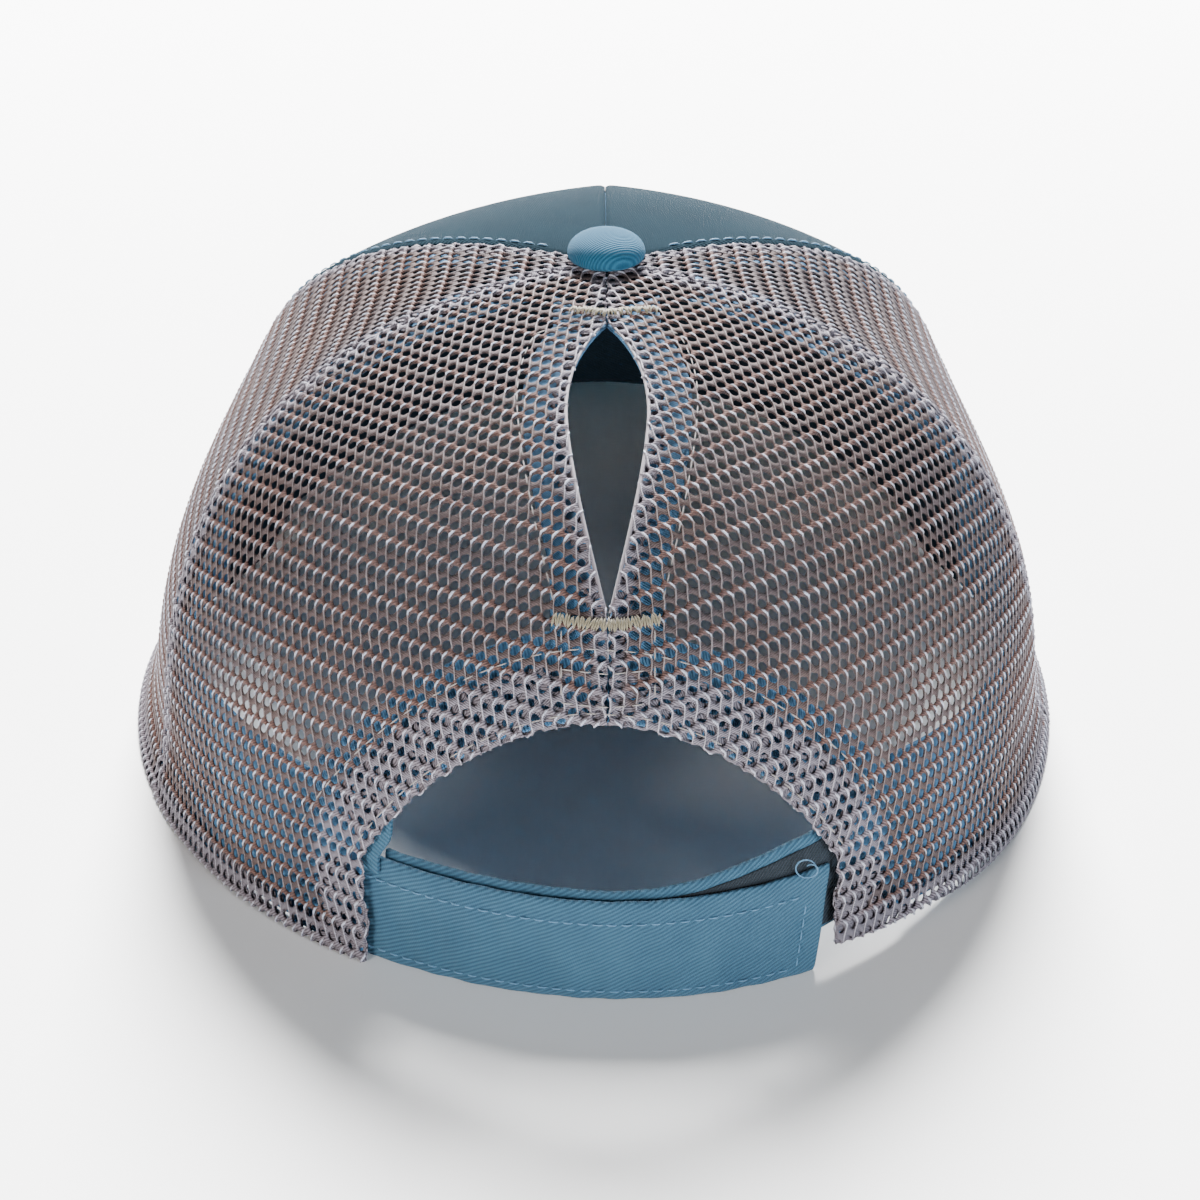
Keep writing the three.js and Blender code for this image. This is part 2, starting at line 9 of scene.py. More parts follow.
import bpy
import numpy as np
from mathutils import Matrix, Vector


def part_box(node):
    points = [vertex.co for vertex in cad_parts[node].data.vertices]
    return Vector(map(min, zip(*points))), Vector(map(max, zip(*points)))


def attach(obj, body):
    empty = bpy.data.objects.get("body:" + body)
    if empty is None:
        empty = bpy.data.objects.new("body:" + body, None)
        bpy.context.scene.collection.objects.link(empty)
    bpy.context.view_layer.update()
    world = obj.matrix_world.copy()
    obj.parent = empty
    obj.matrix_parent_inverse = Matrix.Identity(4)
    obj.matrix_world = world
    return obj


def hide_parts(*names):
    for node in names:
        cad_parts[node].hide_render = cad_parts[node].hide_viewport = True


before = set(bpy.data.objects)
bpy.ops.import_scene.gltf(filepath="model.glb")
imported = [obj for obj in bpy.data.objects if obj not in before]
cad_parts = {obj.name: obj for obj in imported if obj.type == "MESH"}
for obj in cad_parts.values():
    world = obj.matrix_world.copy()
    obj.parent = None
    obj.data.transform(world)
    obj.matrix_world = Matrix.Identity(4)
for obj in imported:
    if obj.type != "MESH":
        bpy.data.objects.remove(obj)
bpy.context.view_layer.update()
MM = 0.001

# %% [markdown]
# ## The crown as a formula
#
# Every piece lies on the crown or a little below it, so the crown is one function of a plan angle, 0 at the
# centre back and positive to the wearer's left, and a height. It is a superellipse from hem to top, which is
# boxier than a ball, and each of its six panels is pulled flatter between its seams, as cut cloth is.

# %% The crown
HALF_WIDTH = 86.5
BACK_REACH = 100.8
FRONT_REACH = 98.0
HEIGHT = 91.0
SQUARENESS = 2.75
TAPER = 0.02
TOP_FORWARD = 2.0
FLARE = 4.1
FLARE_HEIGHT = 14.0
SEAM_LEAN = 2.4
# Each panel's seams as (plan angle at the hem, at the top), and how much flatter its middle is
GORES = {
    "back_mesh_left": ((0, 0), (68.5, 68.5), 0.08),
    "side_mesh_left": ((68.5, 68.5), (126, 112), 0.14),
    "front_panel_left": ((126, 112), (180, 180), 0.07),
    "back_mesh_right": ((0, 0), (-81, -68.5), 0.08),
    "side_mesh_right": ((-81, -68.5), (-126, -112), 0.14),
    "front_panel_right": ((-126, -112), (-180, -180), 0.07),
}


def smooth(value, low, high):
    """0 below low, 1 above high, and 3u^2 - 2u^3 between them."""
    share = np.clip((value - low) / (high - low), 0, 1)
    return share * share * (3 - 2 * share)


def lift(angle):
    """0 along the free hem and 1 where the peak holds it up."""
    return smooth(np.abs(angle), 96, 118)


def seam_angle(seam, z):
    level = np.clip(z / HEIGHT, 0, 1)
    return seam[0] + (seam[1] - seam[0]) * level


def flatness(angle, z):
    """Share of the radius lost: a parabola across each panel, times the level to the power 1.5."""
    lost = np.zeros(np.broadcast(angle, z).shape)
    for start, end, most in GORES.values():
        first, last = seam_angle(start, z), seam_angle(end, z)
        across = (2 * angle - first - last) / (last - first)
        level = np.clip(z / HEIGHT, 0, 1)
        lost = np.where(np.abs(across) <= 1, most * level**1.5 * (1 - across * across), lost)
    return lost


def crown(angle, z, flat=True):
    """The crown's outer face: rounding (1 - level^n)^(1/n) times the plan's ellipse, plus the flare."""
    level = np.clip(z / HEIGHT, 0, 1)
    rounding = (1 - level**SQUARENESS) ** (1 / SQUARENESS)
    share = rounding * (1 - TAPER * level) * (1 - (flatness(angle, z) if flat else 0))
    turn = np.radians(angle)
    low = np.clip(1 - np.maximum(z, 0) / FLARE_HEIGHT, 0, 1)
    flare = FLARE * np.sin(turn) ** 2 * (1 - lift(angle)) * low**2
    reach = np.where(np.cos(turn) > 0, BACK_REACH, FRONT_REACH)
    x = (HALF_WIDTH * share + flare) * np.sin(turn)
    y = (reach * share + flare) * np.cos(turn) - TOP_FORWARD * level
    x = x - SEAM_LEAN * (1 - (x / (HALF_WIDTH + FLARE)) ** 2)
    return np.stack(np.broadcast_arrays(x, y, z + 0 * x), -1)


def unit(vectors):
    return vectors / np.maximum(np.linalg.norm(vectors, axis=-1, keepdims=True), 1e-9)


def outward(angle, z):
    """Cross product of the crown's two tangents, laid level at the hem."""
    step = 0.5
    height = np.minimum(z, HEIGHT * 0.9995 - step)
    here = crown(angle, height, False)
    along = crown(angle + step, height, False) - here
    up = crown(angle, height + step, False) - here
    out = unit(np.cross(along, up))
    out = out * np.sign(np.sum(out * here, -1, keepdims=True))
    out[..., 2] *= smooth(z + 0 * out[..., 2], 0, FLARE_HEIGHT)
    return unit(out)


def skin(angle, z, depth=0.0):
    """The crown's point at a depth below its outer face."""
    return crown(angle, z) - outward(angle, z) * np.asarray(depth)[..., None]


def angle_at_x(x, z, depth=0.0):
    """Plan angle of the back wall's point with this x, found by halving."""
    low, high = np.full(np.shape(x + z), -90.0), np.full(np.shape(x + z), 90.0)
    for _ in range(30):
        middle = (low + high) / 2
        left = skin(middle, z, depth)[..., 0] < x
        low, high = np.where(left, middle, low), np.where(left, high, middle)
    return (low + high) / 2


# The part's frame is the crown's, shifted so that the origin is the whole cap's bottom centre
BUTTON_BOX = np.array([list(corner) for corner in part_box("top_button")]) / MM
SHIFT = BUTTON_BOX.mean(0) * [1, 1, 0] - [-SEAM_LEAN, -TOP_FORWARD, 0]
print("shift in mm", SHIFT.round(2))

# %% [markdown]
# ## The hem, the half-moon and the slit
#
# The hem rests on the floor, climbs over the peak in front, and one corner of the back opening sits a little
# higher. The half-moon is a squarish curve with clipped sides; the slit is a lens on the centre back seam.

# %% Outlines of the openings
GAP = 0.3
PEAK_HALF_WIDTH = 84.0
PEAK_RISE = 19.0
PEAK_THICKNESS = 3.0
ARCH_X = -1.2
ARCH_HALF = 40.5
SLIT_FROM = 65.0
SLIT_TOP_RADIUS = 20.7  # 0.8 mm further up than the solid's, where the edges part
SLIT_HALF = 6.9
SLIT_WIDEST = 0.58


def height_at_sweep(sweep):
    """Height for a turn from 0 at the hem to a quarter circle at the top: sin^(2/n)."""
    return HEIGHT * np.sin(sweep) ** (2 / SQUARENESS)


def sweep_at_height(z):
    return np.arcsin((z / HEIGHT) ** (SQUARENESS / 2))


def height_at_radius(radius):
    return height_at_sweep(np.arccos((radius / HALF_WIDTH) ** (SQUARENESS / 2)))


def peak_underside(x):
    """A cylinder bent about Y: PEAK_RISE high at the middle and 0 at its ends."""
    radius = (PEAK_HALF_WIDTH**2 + PEAK_RISE**2) / (2 * PEAK_RISE)
    side = np.minimum(np.abs(x), PEAK_HALF_WIDTH)
    return PEAK_RISE - (radius - np.sqrt(radius * radius - side * side))


def hem_height(angle, above=PEAK_THICKNESS + GAP):
    """The peak's top in front, plus a cosine hump of 4 mm at the opening's right corner."""
    angle = np.asarray(angle, float)
    away = np.minimum(1, np.abs(angle + 26) / 36)
    corner = 4 * np.cos(away * np.pi / 2) ** 2
    z = 0 * angle
    for _ in range(3):
        z = lift(angle) * (peak_underside(skin(angle, z, 1.2)[..., 0]) + above) + corner
    return z


def arch_point(share, grow=0.0):
    """x and z of the half-moon's edge; share is 0 at its left end and 1 at its right."""
    half, height = ARCH_HALF + grow, 50 + grow
    across = half * np.cos(np.pi * share)
    rise = height * (1 - (np.abs(across) / (ARCH_HALF + 5.5 + grow)) ** 1.75) ** (1 / 1.75)
    return ARCH_X + across, rise


def slit_half(z):
    """Half the slit's width at a height: a lens, 1 - away^1.6 below its widest place and ^1.9 above."""
    line = crown(0.0, np.asarray(z, float))
    bottom, top = crown(0.0, SLIT_FROM), crown(0.0, height_at_radius(SLIT_TOP_RADIUS))
    along = (line - bottom) @ unit(top - bottom) / np.linalg.norm(top - bottom)
    span = np.where(along < SLIT_WIDEST, SLIT_WIDEST, 1 - SLIT_WIDEST)
    away = np.clip(np.abs(along - SLIT_WIDEST) / span, 0, 1)
    return SLIT_HALF * (1 - away ** np.where(along < SLIT_WIDEST, 1.6, 1.9))


SEAM_X = crown(0.0, SLIT_FROM)[0]
SLIT_TOP = height_at_radius(SLIT_TOP_RADIUS)
print("slit from", SLIT_FROM, "to", round(float(SLIT_TOP), 1), "seam x", round(float(SEAM_X), 2))

# %% [markdown]
# ## Camera
#
# The photograph looks down at the back of the cap with a short telephoto lens. The lens and the place were
# fitted to the crown's outline, its seams, the half-moon and the strap.

# %% Camera
FRAME_SIDE = 1200
FOCAL_PIXELS = 2717.7
ELEVATION = np.radians(28.3)
DISTANCE = 520.0
AIM = np.array([0.0, 0.0, 50.0])
AIM_PIXEL = (593.3, 459.9)

toward = np.array([0.0, -np.cos(ELEVATION), -np.sin(ELEVATION)])
place = (AIM - toward * DISTANCE + SHIFT) * MM

camera_data = bpy.data.cameras.new("camera")
camera_data.sensor_width = 36
camera_data.lens = 36 * FOCAL_PIXELS / FRAME_SIDE
camera_data.shift_x = 0.5 - AIM_PIXEL[0] / FRAME_SIDE
camera_data.shift_y = AIM_PIXEL[1] / FRAME_SIDE - 0.5
camera = bpy.data.objects.new("camera", camera_data)
camera.location = place
camera.rotation_euler = Vector(toward).to_track_quat("-Z", "Y").to_euler()
bpy.context.collection.objects.link(camera)
bpy.context.scene.camera = camera
print("camera at", place.round(4), "lens", round(camera_data.lens, 1))

# %% [markdown]
# ## Shader maths
#
# A material is a graph of nodes. To read it as a formula, a small class wraps a socket, and + - * / on it
# add the Math nodes. Every other node comes from one method, which takes its type, settings and inputs.

# %% Shader helper


class Signal:
    """A number or colour that flows between nodes; operators on it add Math nodes."""

    def __init__(self, shader, socket):
        self.shader, self.socket = shader, socket

    def maths(self, operation, *others):
        inputs = dict(enumerate((self, *others)))
        return self.shader.node("ShaderNodeMath", {"operation": operation}, inputs)

    def __add__(self, other):
        return self.maths("ADD", other)

    def __mul__(self, other):
        return self.maths("MULTIPLY", other)

    def __sub__(self, other):
        return self.maths("SUBTRACT", other)

    def __truediv__(self, other):
        return self.maths("DIVIDE", other)

    def __rsub__(self, other):
        return self * -1 + other

    __radd__ = __add__
    __rmul__ = __mul__

    def wave(self):
        """A sine of whole turns, from 0 to 1."""
        return (self * (2 * np.pi)).maths("SINE") * 0.5 + 0.5

    def part(self):
        return self.maths("FRACT")

    def ramp(self, low, high):
        settings = {"interpolation_type": "SMOOTHSTEP"}
        return self.shader.node("ShaderNodeMapRange", settings, {0: self, 1: low, 2: high})


class Shader:
    """Builds one material around a Principled BSDF."""

    def __init__(self, name):
        self.material = bpy.data.materials.new(name)
        self.material.use_nodes = True
        self.tree = self.material.node_tree
        self.surface = self.tree.nodes["Principled BSDF"]

    def put(self, node, key, value):
        if isinstance(value, Signal):
            self.tree.links.new(value.socket, node.inputs[key])
        else:
            node.inputs[key].default_value = value

    def node(self, kind, settings=None, inputs=None, output=0):
        node = self.tree.nodes.new(kind)
        for key, value in (settings or {}).items():
            setattr(node, key, value)
        for key, value in (inputs or {}).items():
            self.put(node, key, value)
        return Signal(self, node.outputs[output])

    def flat(self):
        """The two numbers of the piece's own UV map."""
        uv = self.node("ShaderNodeUVMap", {"uv_map": "flat"})
        split = self.node("ShaderNodeSeparateXYZ", None, {0: uv})
        return split, Signal(self, split.socket.node.outputs[1])

    def doubled(self):
        """1 where the knit is folded double, from the mesh's own attribute."""
        return self.node("ShaderNodeAttribute", {"attribute_name": "double"}, None, 2)

    def noise(self, scale, detail):
        """Noise on Object coordinates, with its scale per millimetre."""
        where = self.node("ShaderNodeTexCoord", None, None, "Object")
        inputs = {"Vector": where, "Scale": scale / MM, "Detail": detail}
        return self.node("ShaderNodeTexNoise", None, inputs)

    def mix(self, factor, first, second):
        return self.node("ShaderNodeMix", {"data_type": "RGBA"}, {0: factor, 6: first, 7: second}, 2)

    def finish(self, color, roughness, height, strength, distance, sheen=0.0, gloss=0.3):
        """Colour, roughness and relief; distance is the relief's depth in millimetres."""
        bump = {"Height": height, "Strength": strength, "Distance": distance * MM}
        self.put(self.surface, "Normal", self.node("ShaderNodeBump", None, bump))
        self.put(self.surface, "Base Color", color)
        self.put(self.surface, "Roughness", roughness)
        self.put(self.surface, "Specular IOR Level", gloss)
        self.put(self.surface, "Sheen Weight", sheen)
        self.put(self.surface, "Sheen Roughness", 0.5)
        return self.material


def shade(red, green, blue):
    """A screen colour of 0 to 255 as the linear colour that a shader takes."""
    screen = np.array([red, green, blue]) / 255
    linear = np.where(screen > 0.04045, ((screen + 0.055) / 1.055) ** 2.4, screen / 12.92)
    return (*linear.tolist(), 1.0)


# %% [markdown]
# ## Meshes from arrays
#
# Every piece is worked out as an array of points and an array of four-cornered faces, and foreach_set puts
# them into a mesh at once. Cloth starts as a surface without thickness, so that its pattern stays simple,
# and Solidify and Bevel then make it a wall with soft edges.

# %% Meshes from arrays


def make_mesh(name, points, quads, flat, material, nodes=(), double=None):
    """An object from points in crown millimetres, four-cornered faces and one UV per point."""
    mesh = bpy.data.meshes.new(name)
    mesh.vertices.add(len(points))
    mesh.vertices.foreach_set("co", ((points + SHIFT) * MM).astype(np.float32).ravel())
    mesh.loops.add(quads.size)
    mesh.loops.foreach_set("vertex_index", quads.astype(np.int32).ravel())
    mesh.polygons.add(len(quads))
    mesh.polygons.foreach_set("loop_start", np.arange(0, quads.size, 4, dtype=np.int32))
    mesh.polygons.foreach_set("use_smooth", np.ones(len(quads), bool))
    mesh.update(calc_edges=True)
    layer = mesh.uv_layers.new(name="flat")
    layer.data.foreach_set("uv", flat[quads.ravel()].astype(np.float32).ravel())
    if double is not None:
        mesh.attributes.new("double", "FLOAT", "POINT").data.foreach_set("value", double.astype(np.float32))
    mesh.materials.append(material)
    piece = bpy.data.objects.new(name, mesh)
    bpy.context.collection.objects.link(piece)
    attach(piece, "root")
    if nodes:
        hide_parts(*nodes)
    return piece


def grid_quads(rows, columns, wrap=False):
    """Faces of a grid whose points are numbered row by row; wrap joins the last column to the first."""
    row = np.arange(rows - 1)[:, None] * columns
    column = np.arange(columns if wrap else columns - 1)[None]
    after = (column + 1) % columns
    corners = (row + column, row + after, row + columns + after, row + columns + column)
    return np.stack(corners, -1).reshape(-1, 4)


def facing(points, quads, away):
    """The faces, all turned over if they look against away, a function of their middles."""
    corner = points[quads]
    normal = np.cross(corner[:, 2] - corner[:, 0], corner[:, 3] - corner[:, 1])
    return quads if np.sum(normal * away(corner.mean(1))) >= 0 else quads[:, ::-1]


def from_inside(middle):
    """Directions away from a place low inside the crown."""
    return middle - [0, 0, 30]


def cloth(name, points, flat, thickness, material, nodes=(), away=from_inside):
    """A grid of points as cloth, which gets its thickness on the side that looks against away."""
    rows, columns = points.shape[:2]
    points, flat = points.reshape(-1, 3), flat.reshape(-1, 2)
    quads = facing(points, grid_quads(rows, columns), away)
    piece = make_mesh(name, points, quads, flat, material, nodes)
    solid = piece.modifiers.new("thickness", "SOLIDIFY")
    solid.thickness, solid.offset = thickness * MM, -1
    bevel = piece.modifiers.new("edges", "BEVEL")
    bevel.width, bevel.segments = thickness * 0.4 * MM, 3
    bevel.limit_method, bevel.angle_limit = "ANGLE", np.radians(50)
    return piece


# %% [markdown]
# ## Flat patterns
#
# A knit's rows are straight in the cut cloth, not on the crown. Each panel therefore gets a flat pattern:
# t runs down its centre line and s across it. A row of the pattern is where a tilted plane through an axis
# in front of the crown meets the crown, and s is measured along it. Cloth that runs past an edge of the
# pattern is folded round it and comes back behind, which makes the hems and seam allowances.

# %% Flat pattern of a panel
AXIS_BACK = 60.0
CLOTH_DEPTH = 0.35
FOLD_RADIUS = 0.4
FOLD_REACH = FOLD_RADIUS * np.pi / 2
TABLE_STEP = 1.5
LOWEST = 0.02  # the folded hem lies on the floor and doesn't sink into it


def lengths(points):
    """Distance along a line of points, starting at 0."""
    steps = np.linalg.norm(np.diff(points, axis=-2), axis=-1)
    return np.concatenate([np.zeros((*steps.shape[:-1], 1)), np.cumsum(steps, -1)], -1)


class Pattern:
    """A panel's flat pattern, its way onto the crown, and its edges with their fold widths."""

    def __init__(self, name, centre):
        start, end, _ = GORES[name]
        self.name, self.start, self.end = name, start, end
        sign = np.sign(end[0] - start[0])
        turn = np.radians(centre)
        self.way = np.array([np.sin(turn), np.cos(turn), 0])
        z = np.r_[height_at_sweep(np.linspace(np.pi / 2 - 0.005, 0, 500)), np.linspace(-0.5, -30, 60)]
        line = crown(centre, z)
        self.line_t, self.line_tilt = lengths(line), self.tilt(line)
        self.t = np.arange(0, self.line_t[-1], TABLE_STEP)
        tilt = np.interp(self.t, self.line_t, self.line_tilt)[:, None]
        self.angles = np.linspace(min(start) - 7, max(end) + 7, 141)
        if sign < 0:
            self.angles = np.linspace(max(start) + 7, min(end) - 7, 141)
        z = self.height_on(tilt, self.angles[None])
        along = lengths(crown(self.angles[None], z))
        middle = np.abs(self.angles - centre).argmin()
        self.across = along - along[:, middle : middle + 1]
        reach = np.abs(self.across).max()
        self.s = np.arange(-reach, reach, TABLE_STEP)
        angle = np.stack([np.interp(self.s, row, self.angles) for row in self.across])
        z = self.height_on(tilt, angle)
        self.table = np.concatenate([crown(angle, z), outward(angle, z)], -1)

    def tilt(self, points):
        return np.arctan2(points[..., 2], points @ self.way + AXIS_BACK)

    def height_on(self, tilt, angle):
        """Height where the plane of this tilt meets the crown at a plan angle, found by halving."""
        shape = np.broadcast(tilt, angle).shape
        low, high = np.full(shape, -60.0), np.full(shape, HEIGHT)
        for _ in range(26):
            z = (low + high) / 2
            below = z * np.cos(tilt) < np.sin(tilt) * (crown(angle, z) @ self.way + AXIS_BACK)
            low, high = np.where(below, z, low), np.where(below, high, z)
        return (low + high) / 2

    def flatten(self, angle, z):
        """s and t of points given by plan angle and height."""
        points = crown(angle, z)
        t = np.interp(-self.tilt(points), -self.line_tilt, self.line_t)
        row = np.clip(t / TABLE_STEP, 0, len(self.t) - 1.001)
        low = row.astype(int)
        order = slice(None, None, 1 if self.angles[1] > self.angles[0] else -1)
        known, across = self.angles[order], self.across[:, order]
        pairs = zip(angle + 0 * t, low)
        both = np.array([[np.interp(a, known, across[k + n]) for n in (0, 1)] for a, k in pairs])
        share = row - low
        return np.stack([both[:, 0] * (1 - share) + both[:, 1] * share, t], -1)

    def edges(self, parts):
        """Stores the closed outline, from (angles, heights, fold width) parts in order."""
        runs = [self.flatten(np.asarray(a, float), np.asarray(z, float)) for a, z, _ in parts]
        self.outline = np.concatenate(runs)
        widths = np.concatenate([np.full(len(run), part[2]) for run, part in zip(runs, parts)])
        self.ends = np.roll(self.outline, -1, 0)
        self.widths = widths
        step = self.ends - self.outline
        side = np.stack([-step[:, 1], step[:, 0]], -1)
        area = np.sum(self.outline[:, 0] * self.ends[:, 1] - self.ends[:, 0] * self.outline[:, 1])
        self.inward = unit(side) * np.sign(area)
        return self

    def distance(self, flat):
        """Signed distance to the outline, positive inside, with the nearest point and its edge's number."""
        found = []
        step = self.ends - self.outline
        for some in np.array_split(flat, max(1, len(flat) // 4000)):
            offset = some[:, None] - self.outline[None]
            share = np.sum(offset * step, -1) / np.maximum(np.sum(step * step, -1), 1e-9)
            share = np.clip(share, 0, 1)
            foot = self.outline + share[..., None] * step
            gap = np.linalg.norm(some[:, None] - foot, axis=-1)
            edge = gap.argmin(1)
            pick = np.arange(len(some))
            first, last = self.outline[None, :, 1] > some[:, 1:], self.ends[None, :, 1] > some[:, 1:]
            drop = np.where(step[:, 1] == 0, 1e-9, step[:, 1])
            crossing = self.outline[:, 0] + (some[:, 1:] - self.outline[:, 1]) / drop * step[:, 0]
            inside = np.sum((first != last) & (some[:, :1] < crossing), 1) % 2 == 1
            found.append((np.where(inside, 1, -1) * gap[pick, edge], foot[pick, edge], edge))
        return [np.concatenate(items) for items in zip(*found)]

    def look_up(self, flat):
        """Point and outward direction on the crown, interpolated in the table."""
        column = np.clip((flat[..., 0] - self.s[0]) / TABLE_STEP, 0, len(self.s) - 1.001)
        row = np.clip(flat[..., 1] / TABLE_STEP, 0, len(self.t) - 1.001)
        i, j = row.astype(int), column.astype(int)
        a, b = (row - i)[..., None], (column - j)[..., None]
        table = self.table
        low = table[i, j] * (1 - b) + table[i, j + 1] * b
        high = table[i + 1, j] * (1 - b) + table[i + 1, j + 1] * b
        both = low * (1 - a) + high * a
        return both[..., :3], unit(both[..., 3:])

    def lay(self, flat, height):
        """Lays points of the cloth on the crown; height is above the cloth's middle.

        Beyond the outline a point turns through half a circle and comes back as far behind. With the points
        come whether each is kept, and 1 where the cloth is double, fading to 0 past the fold's end.
        """
        signed, foot, edge = self.distance(flat)
        keep = signed > -self.widths[edge]
        turn = np.pi / 2 * np.clip(1 - signed / FOLD_REACH, 0, 2)
        size = np.abs(signed)
        safe = np.where(size < 0.05, 1, signed)[:, None]
        inward = np.where(size[:, None] < 0.05, self.inward[edge], (flat - foot) / safe)
        ease = (FOLD_REACH - FOLD_RADIUS) * np.exp(-np.maximum(size - FOLD_REACH, 0) / 2)
        back = np.where(size < FOLD_REACH, FOLD_RADIUS * (1 - np.sin(turn)), size - ease)
        spot = foot + inward * back[:, None]
        point, normal = self.look_up(spot)
        ahead, _ = self.look_up(spot + inward * 0.5)
        lateral = unit(point - ahead)
        depth = CLOTH_DEPTH + FOLD_RADIUS * (1 - np.cos(turn))
        point = point + normal * (height * np.cos(turn) - depth)[:, None]
        point = point + lateral * (height * np.sin(turn))[:, None]
        point[:, 2] = np.maximum(point[:, 2], LOWEST)
        double = 1 - smooth(size - self.widths[edge], -1.5, 0.5)
        return point, keep, double


HALF_GAP = 0.1
TOP_HOLE = height_at_radius(3.5)
SEAM_FOLD = 3.2
ARCH_FOLD = 11.0
HEM_FOLD = 5.5


def back_pattern(side):
    """Centre seam with the slit's half, half-moon, hem and side seam, as the back panel's outline."""
    name = "back_mesh_left" if side > 0 else "back_mesh_right"
    pattern = Pattern(name, 33.0 if side > 0 else -43.0)
    z_slit = np.linspace(SLIT_TOP, SLIT_FROM, 40)
    z_seam = np.r_[np.linspace(TOP_HOLE, SLIT_TOP, 12)[:-1], z_slit, np.linspace(SLIT_FROM, 50, 10)[1:]]
    seam_x = crown(0.0, z_seam)[:, 0] + side * (slit_half(z_seam) + HALF_GAP)
    arch_x, arch_z = arch_point(np.linspace(0.48 if side > 0 else 0.52, 0 if side > 0 else 1, 40))
    corner_x = ARCH_X + side * ARCH_HALF
    corner = angle_at_x(np.array([corner_x]), np.array([0.0]))[0]
    side_z = np.linspace(arch_z[-1], float(hem_height(corner)), 12)[1:]
    hem = np.linspace(corner, pattern.end[0], 30)[1:]
    up = np.linspace(float(hem_height(hem[-1])), TOP_HOLE, 50)[1:]
    seam = seam_angle(pattern.end, up)
    width = HALF_GAP / np.maximum(np.linalg.norm(crown(seam, up)[:, :2], axis=1), 3)
    return pattern.edges(
        [
            (angle_at_x(seam_x, z_seam), z_seam, SEAM_FOLD),
            (angle_at_x(arch_x, arch_z), arch_z, ARCH_FOLD),
            (angle_at_x(corner_x + 0 * side_z, side_z), side_z, ARCH_FOLD),
            (hem, hem_height(hem), HEM_FOLD),
            (seam - side * np.degrees(width), up, SEAM_FOLD),
        ]
    )


def side_pattern(side):
    """Side-back seam down, hem forward and side-front seam up."""
    name = "side_mesh_left" if side > 0 else "side_mesh_right"
    pattern = Pattern(name, 97.0 * side)
    first, last = pattern.start, pattern.end
    down = np.linspace(TOP_HOLE, float(hem_height(first[0])), 50)
    hem = np.linspace(first[0], last[0], 30)[1:]
    up = np.linspace(float(hem_height(hem[-1])), TOP_HOLE, 50)[1:]
    margin = side * 0.12
    return pattern.edges(
        [
            (seam_angle(first, down) + margin, down, SEAM_FOLD),
            (hem, hem_height(hem), HEM_FOLD),
            (seam_angle(last, up) - margin, up, SEAM_FOLD),
        ]
    )


PATTERNS = [back_pattern(1), back_pattern(-1), side_pattern(1), side_pattern(-1)]
for pattern in PATTERNS:
    print(pattern.name, "pattern", np.ptp(pattern.outline, 0).round(1), "mm")

# %% [markdown]
# ## The knit
#
# The mesh is a warp knit: wale yarns zigzag down the cloth, with ladders of fine threads between two rows of
# holes and a closer band of slanting floats between the next two. The ground is real geometry, a six-sided
# cell round each hole, and every wale yarn is a cord that lies on it. Only the finest threads are left to
# the material, which knows the knit's phase from the pattern's own coordinates.

# %% Knit geometry
HOLE_PITCH = 2.15
ROW_PITCH = 2.45
FRONT, EDGE, BACK = 0.06, -0.04, -0.22
BAND_RISE = 0.3
HOLES = ((0.98, 0.74, 60.0), (0.9, 0.8, 43.0))  # half axes and turn in even and odd rows
FACE_LIMIT = 4.0


def jitter(flat):
    """Sums of sines that bend the rows a little and shift each loop, as hand-sewn mesh has."""
    s, t = flat[..., 0], flat[..., 1]
    ds = 0.35 * np.sin(t / 11 + s / 23) + 0.07 * np.sin(s * 2.3 + t * 4.1)
    dt = 0.45 * np.sin(s / 13 + t / 31) + 0.06 * np.sin(s * 3.1 - t * 2.7)
    ds = ds + 0.05 * np.sin(s * 5.7 - t * 3.3)
    dt = dt + 0.05 * np.sin(s * 1.9 + t * 5.3)
    return flat + np.stack([ds, dt], -1)


def lattice(pattern):
    """Row and column numbers and centres of every hole near the pattern."""
    low, high = pattern.outline.min(0) - 12, pattern.outline.max(0) + 12
    rows = np.arange(int(low[1] / ROW_PITCH), int(high[1] / ROW_PITCH) + 1)
    columns = np.arange(int(low[0] / HOLE_PITCH) - 1, int(high[0] / HOLE_PITCH) + 1)
    row, column = [grid.ravel() for grid in np.meshgrid(rows, columns, indexing="ij")]
    centre = np.stack([(column + 0.5 * (row % 2)) * HOLE_PITCH, row * ROW_PITCH], -1)
    signed, _, edge = pattern.distance(centre)
    near = signed > -pattern.widths[edge] - 1
    return row[near], centre[near]


def near_faces(points, quads):
    """Faces that no fold has torn apart."""
    corner = points[quads]
    longest = np.linalg.norm(corner - np.roll(corner, 1, 1), axis=-1).max(1)
    return quads[longest < FACE_LIMIT]


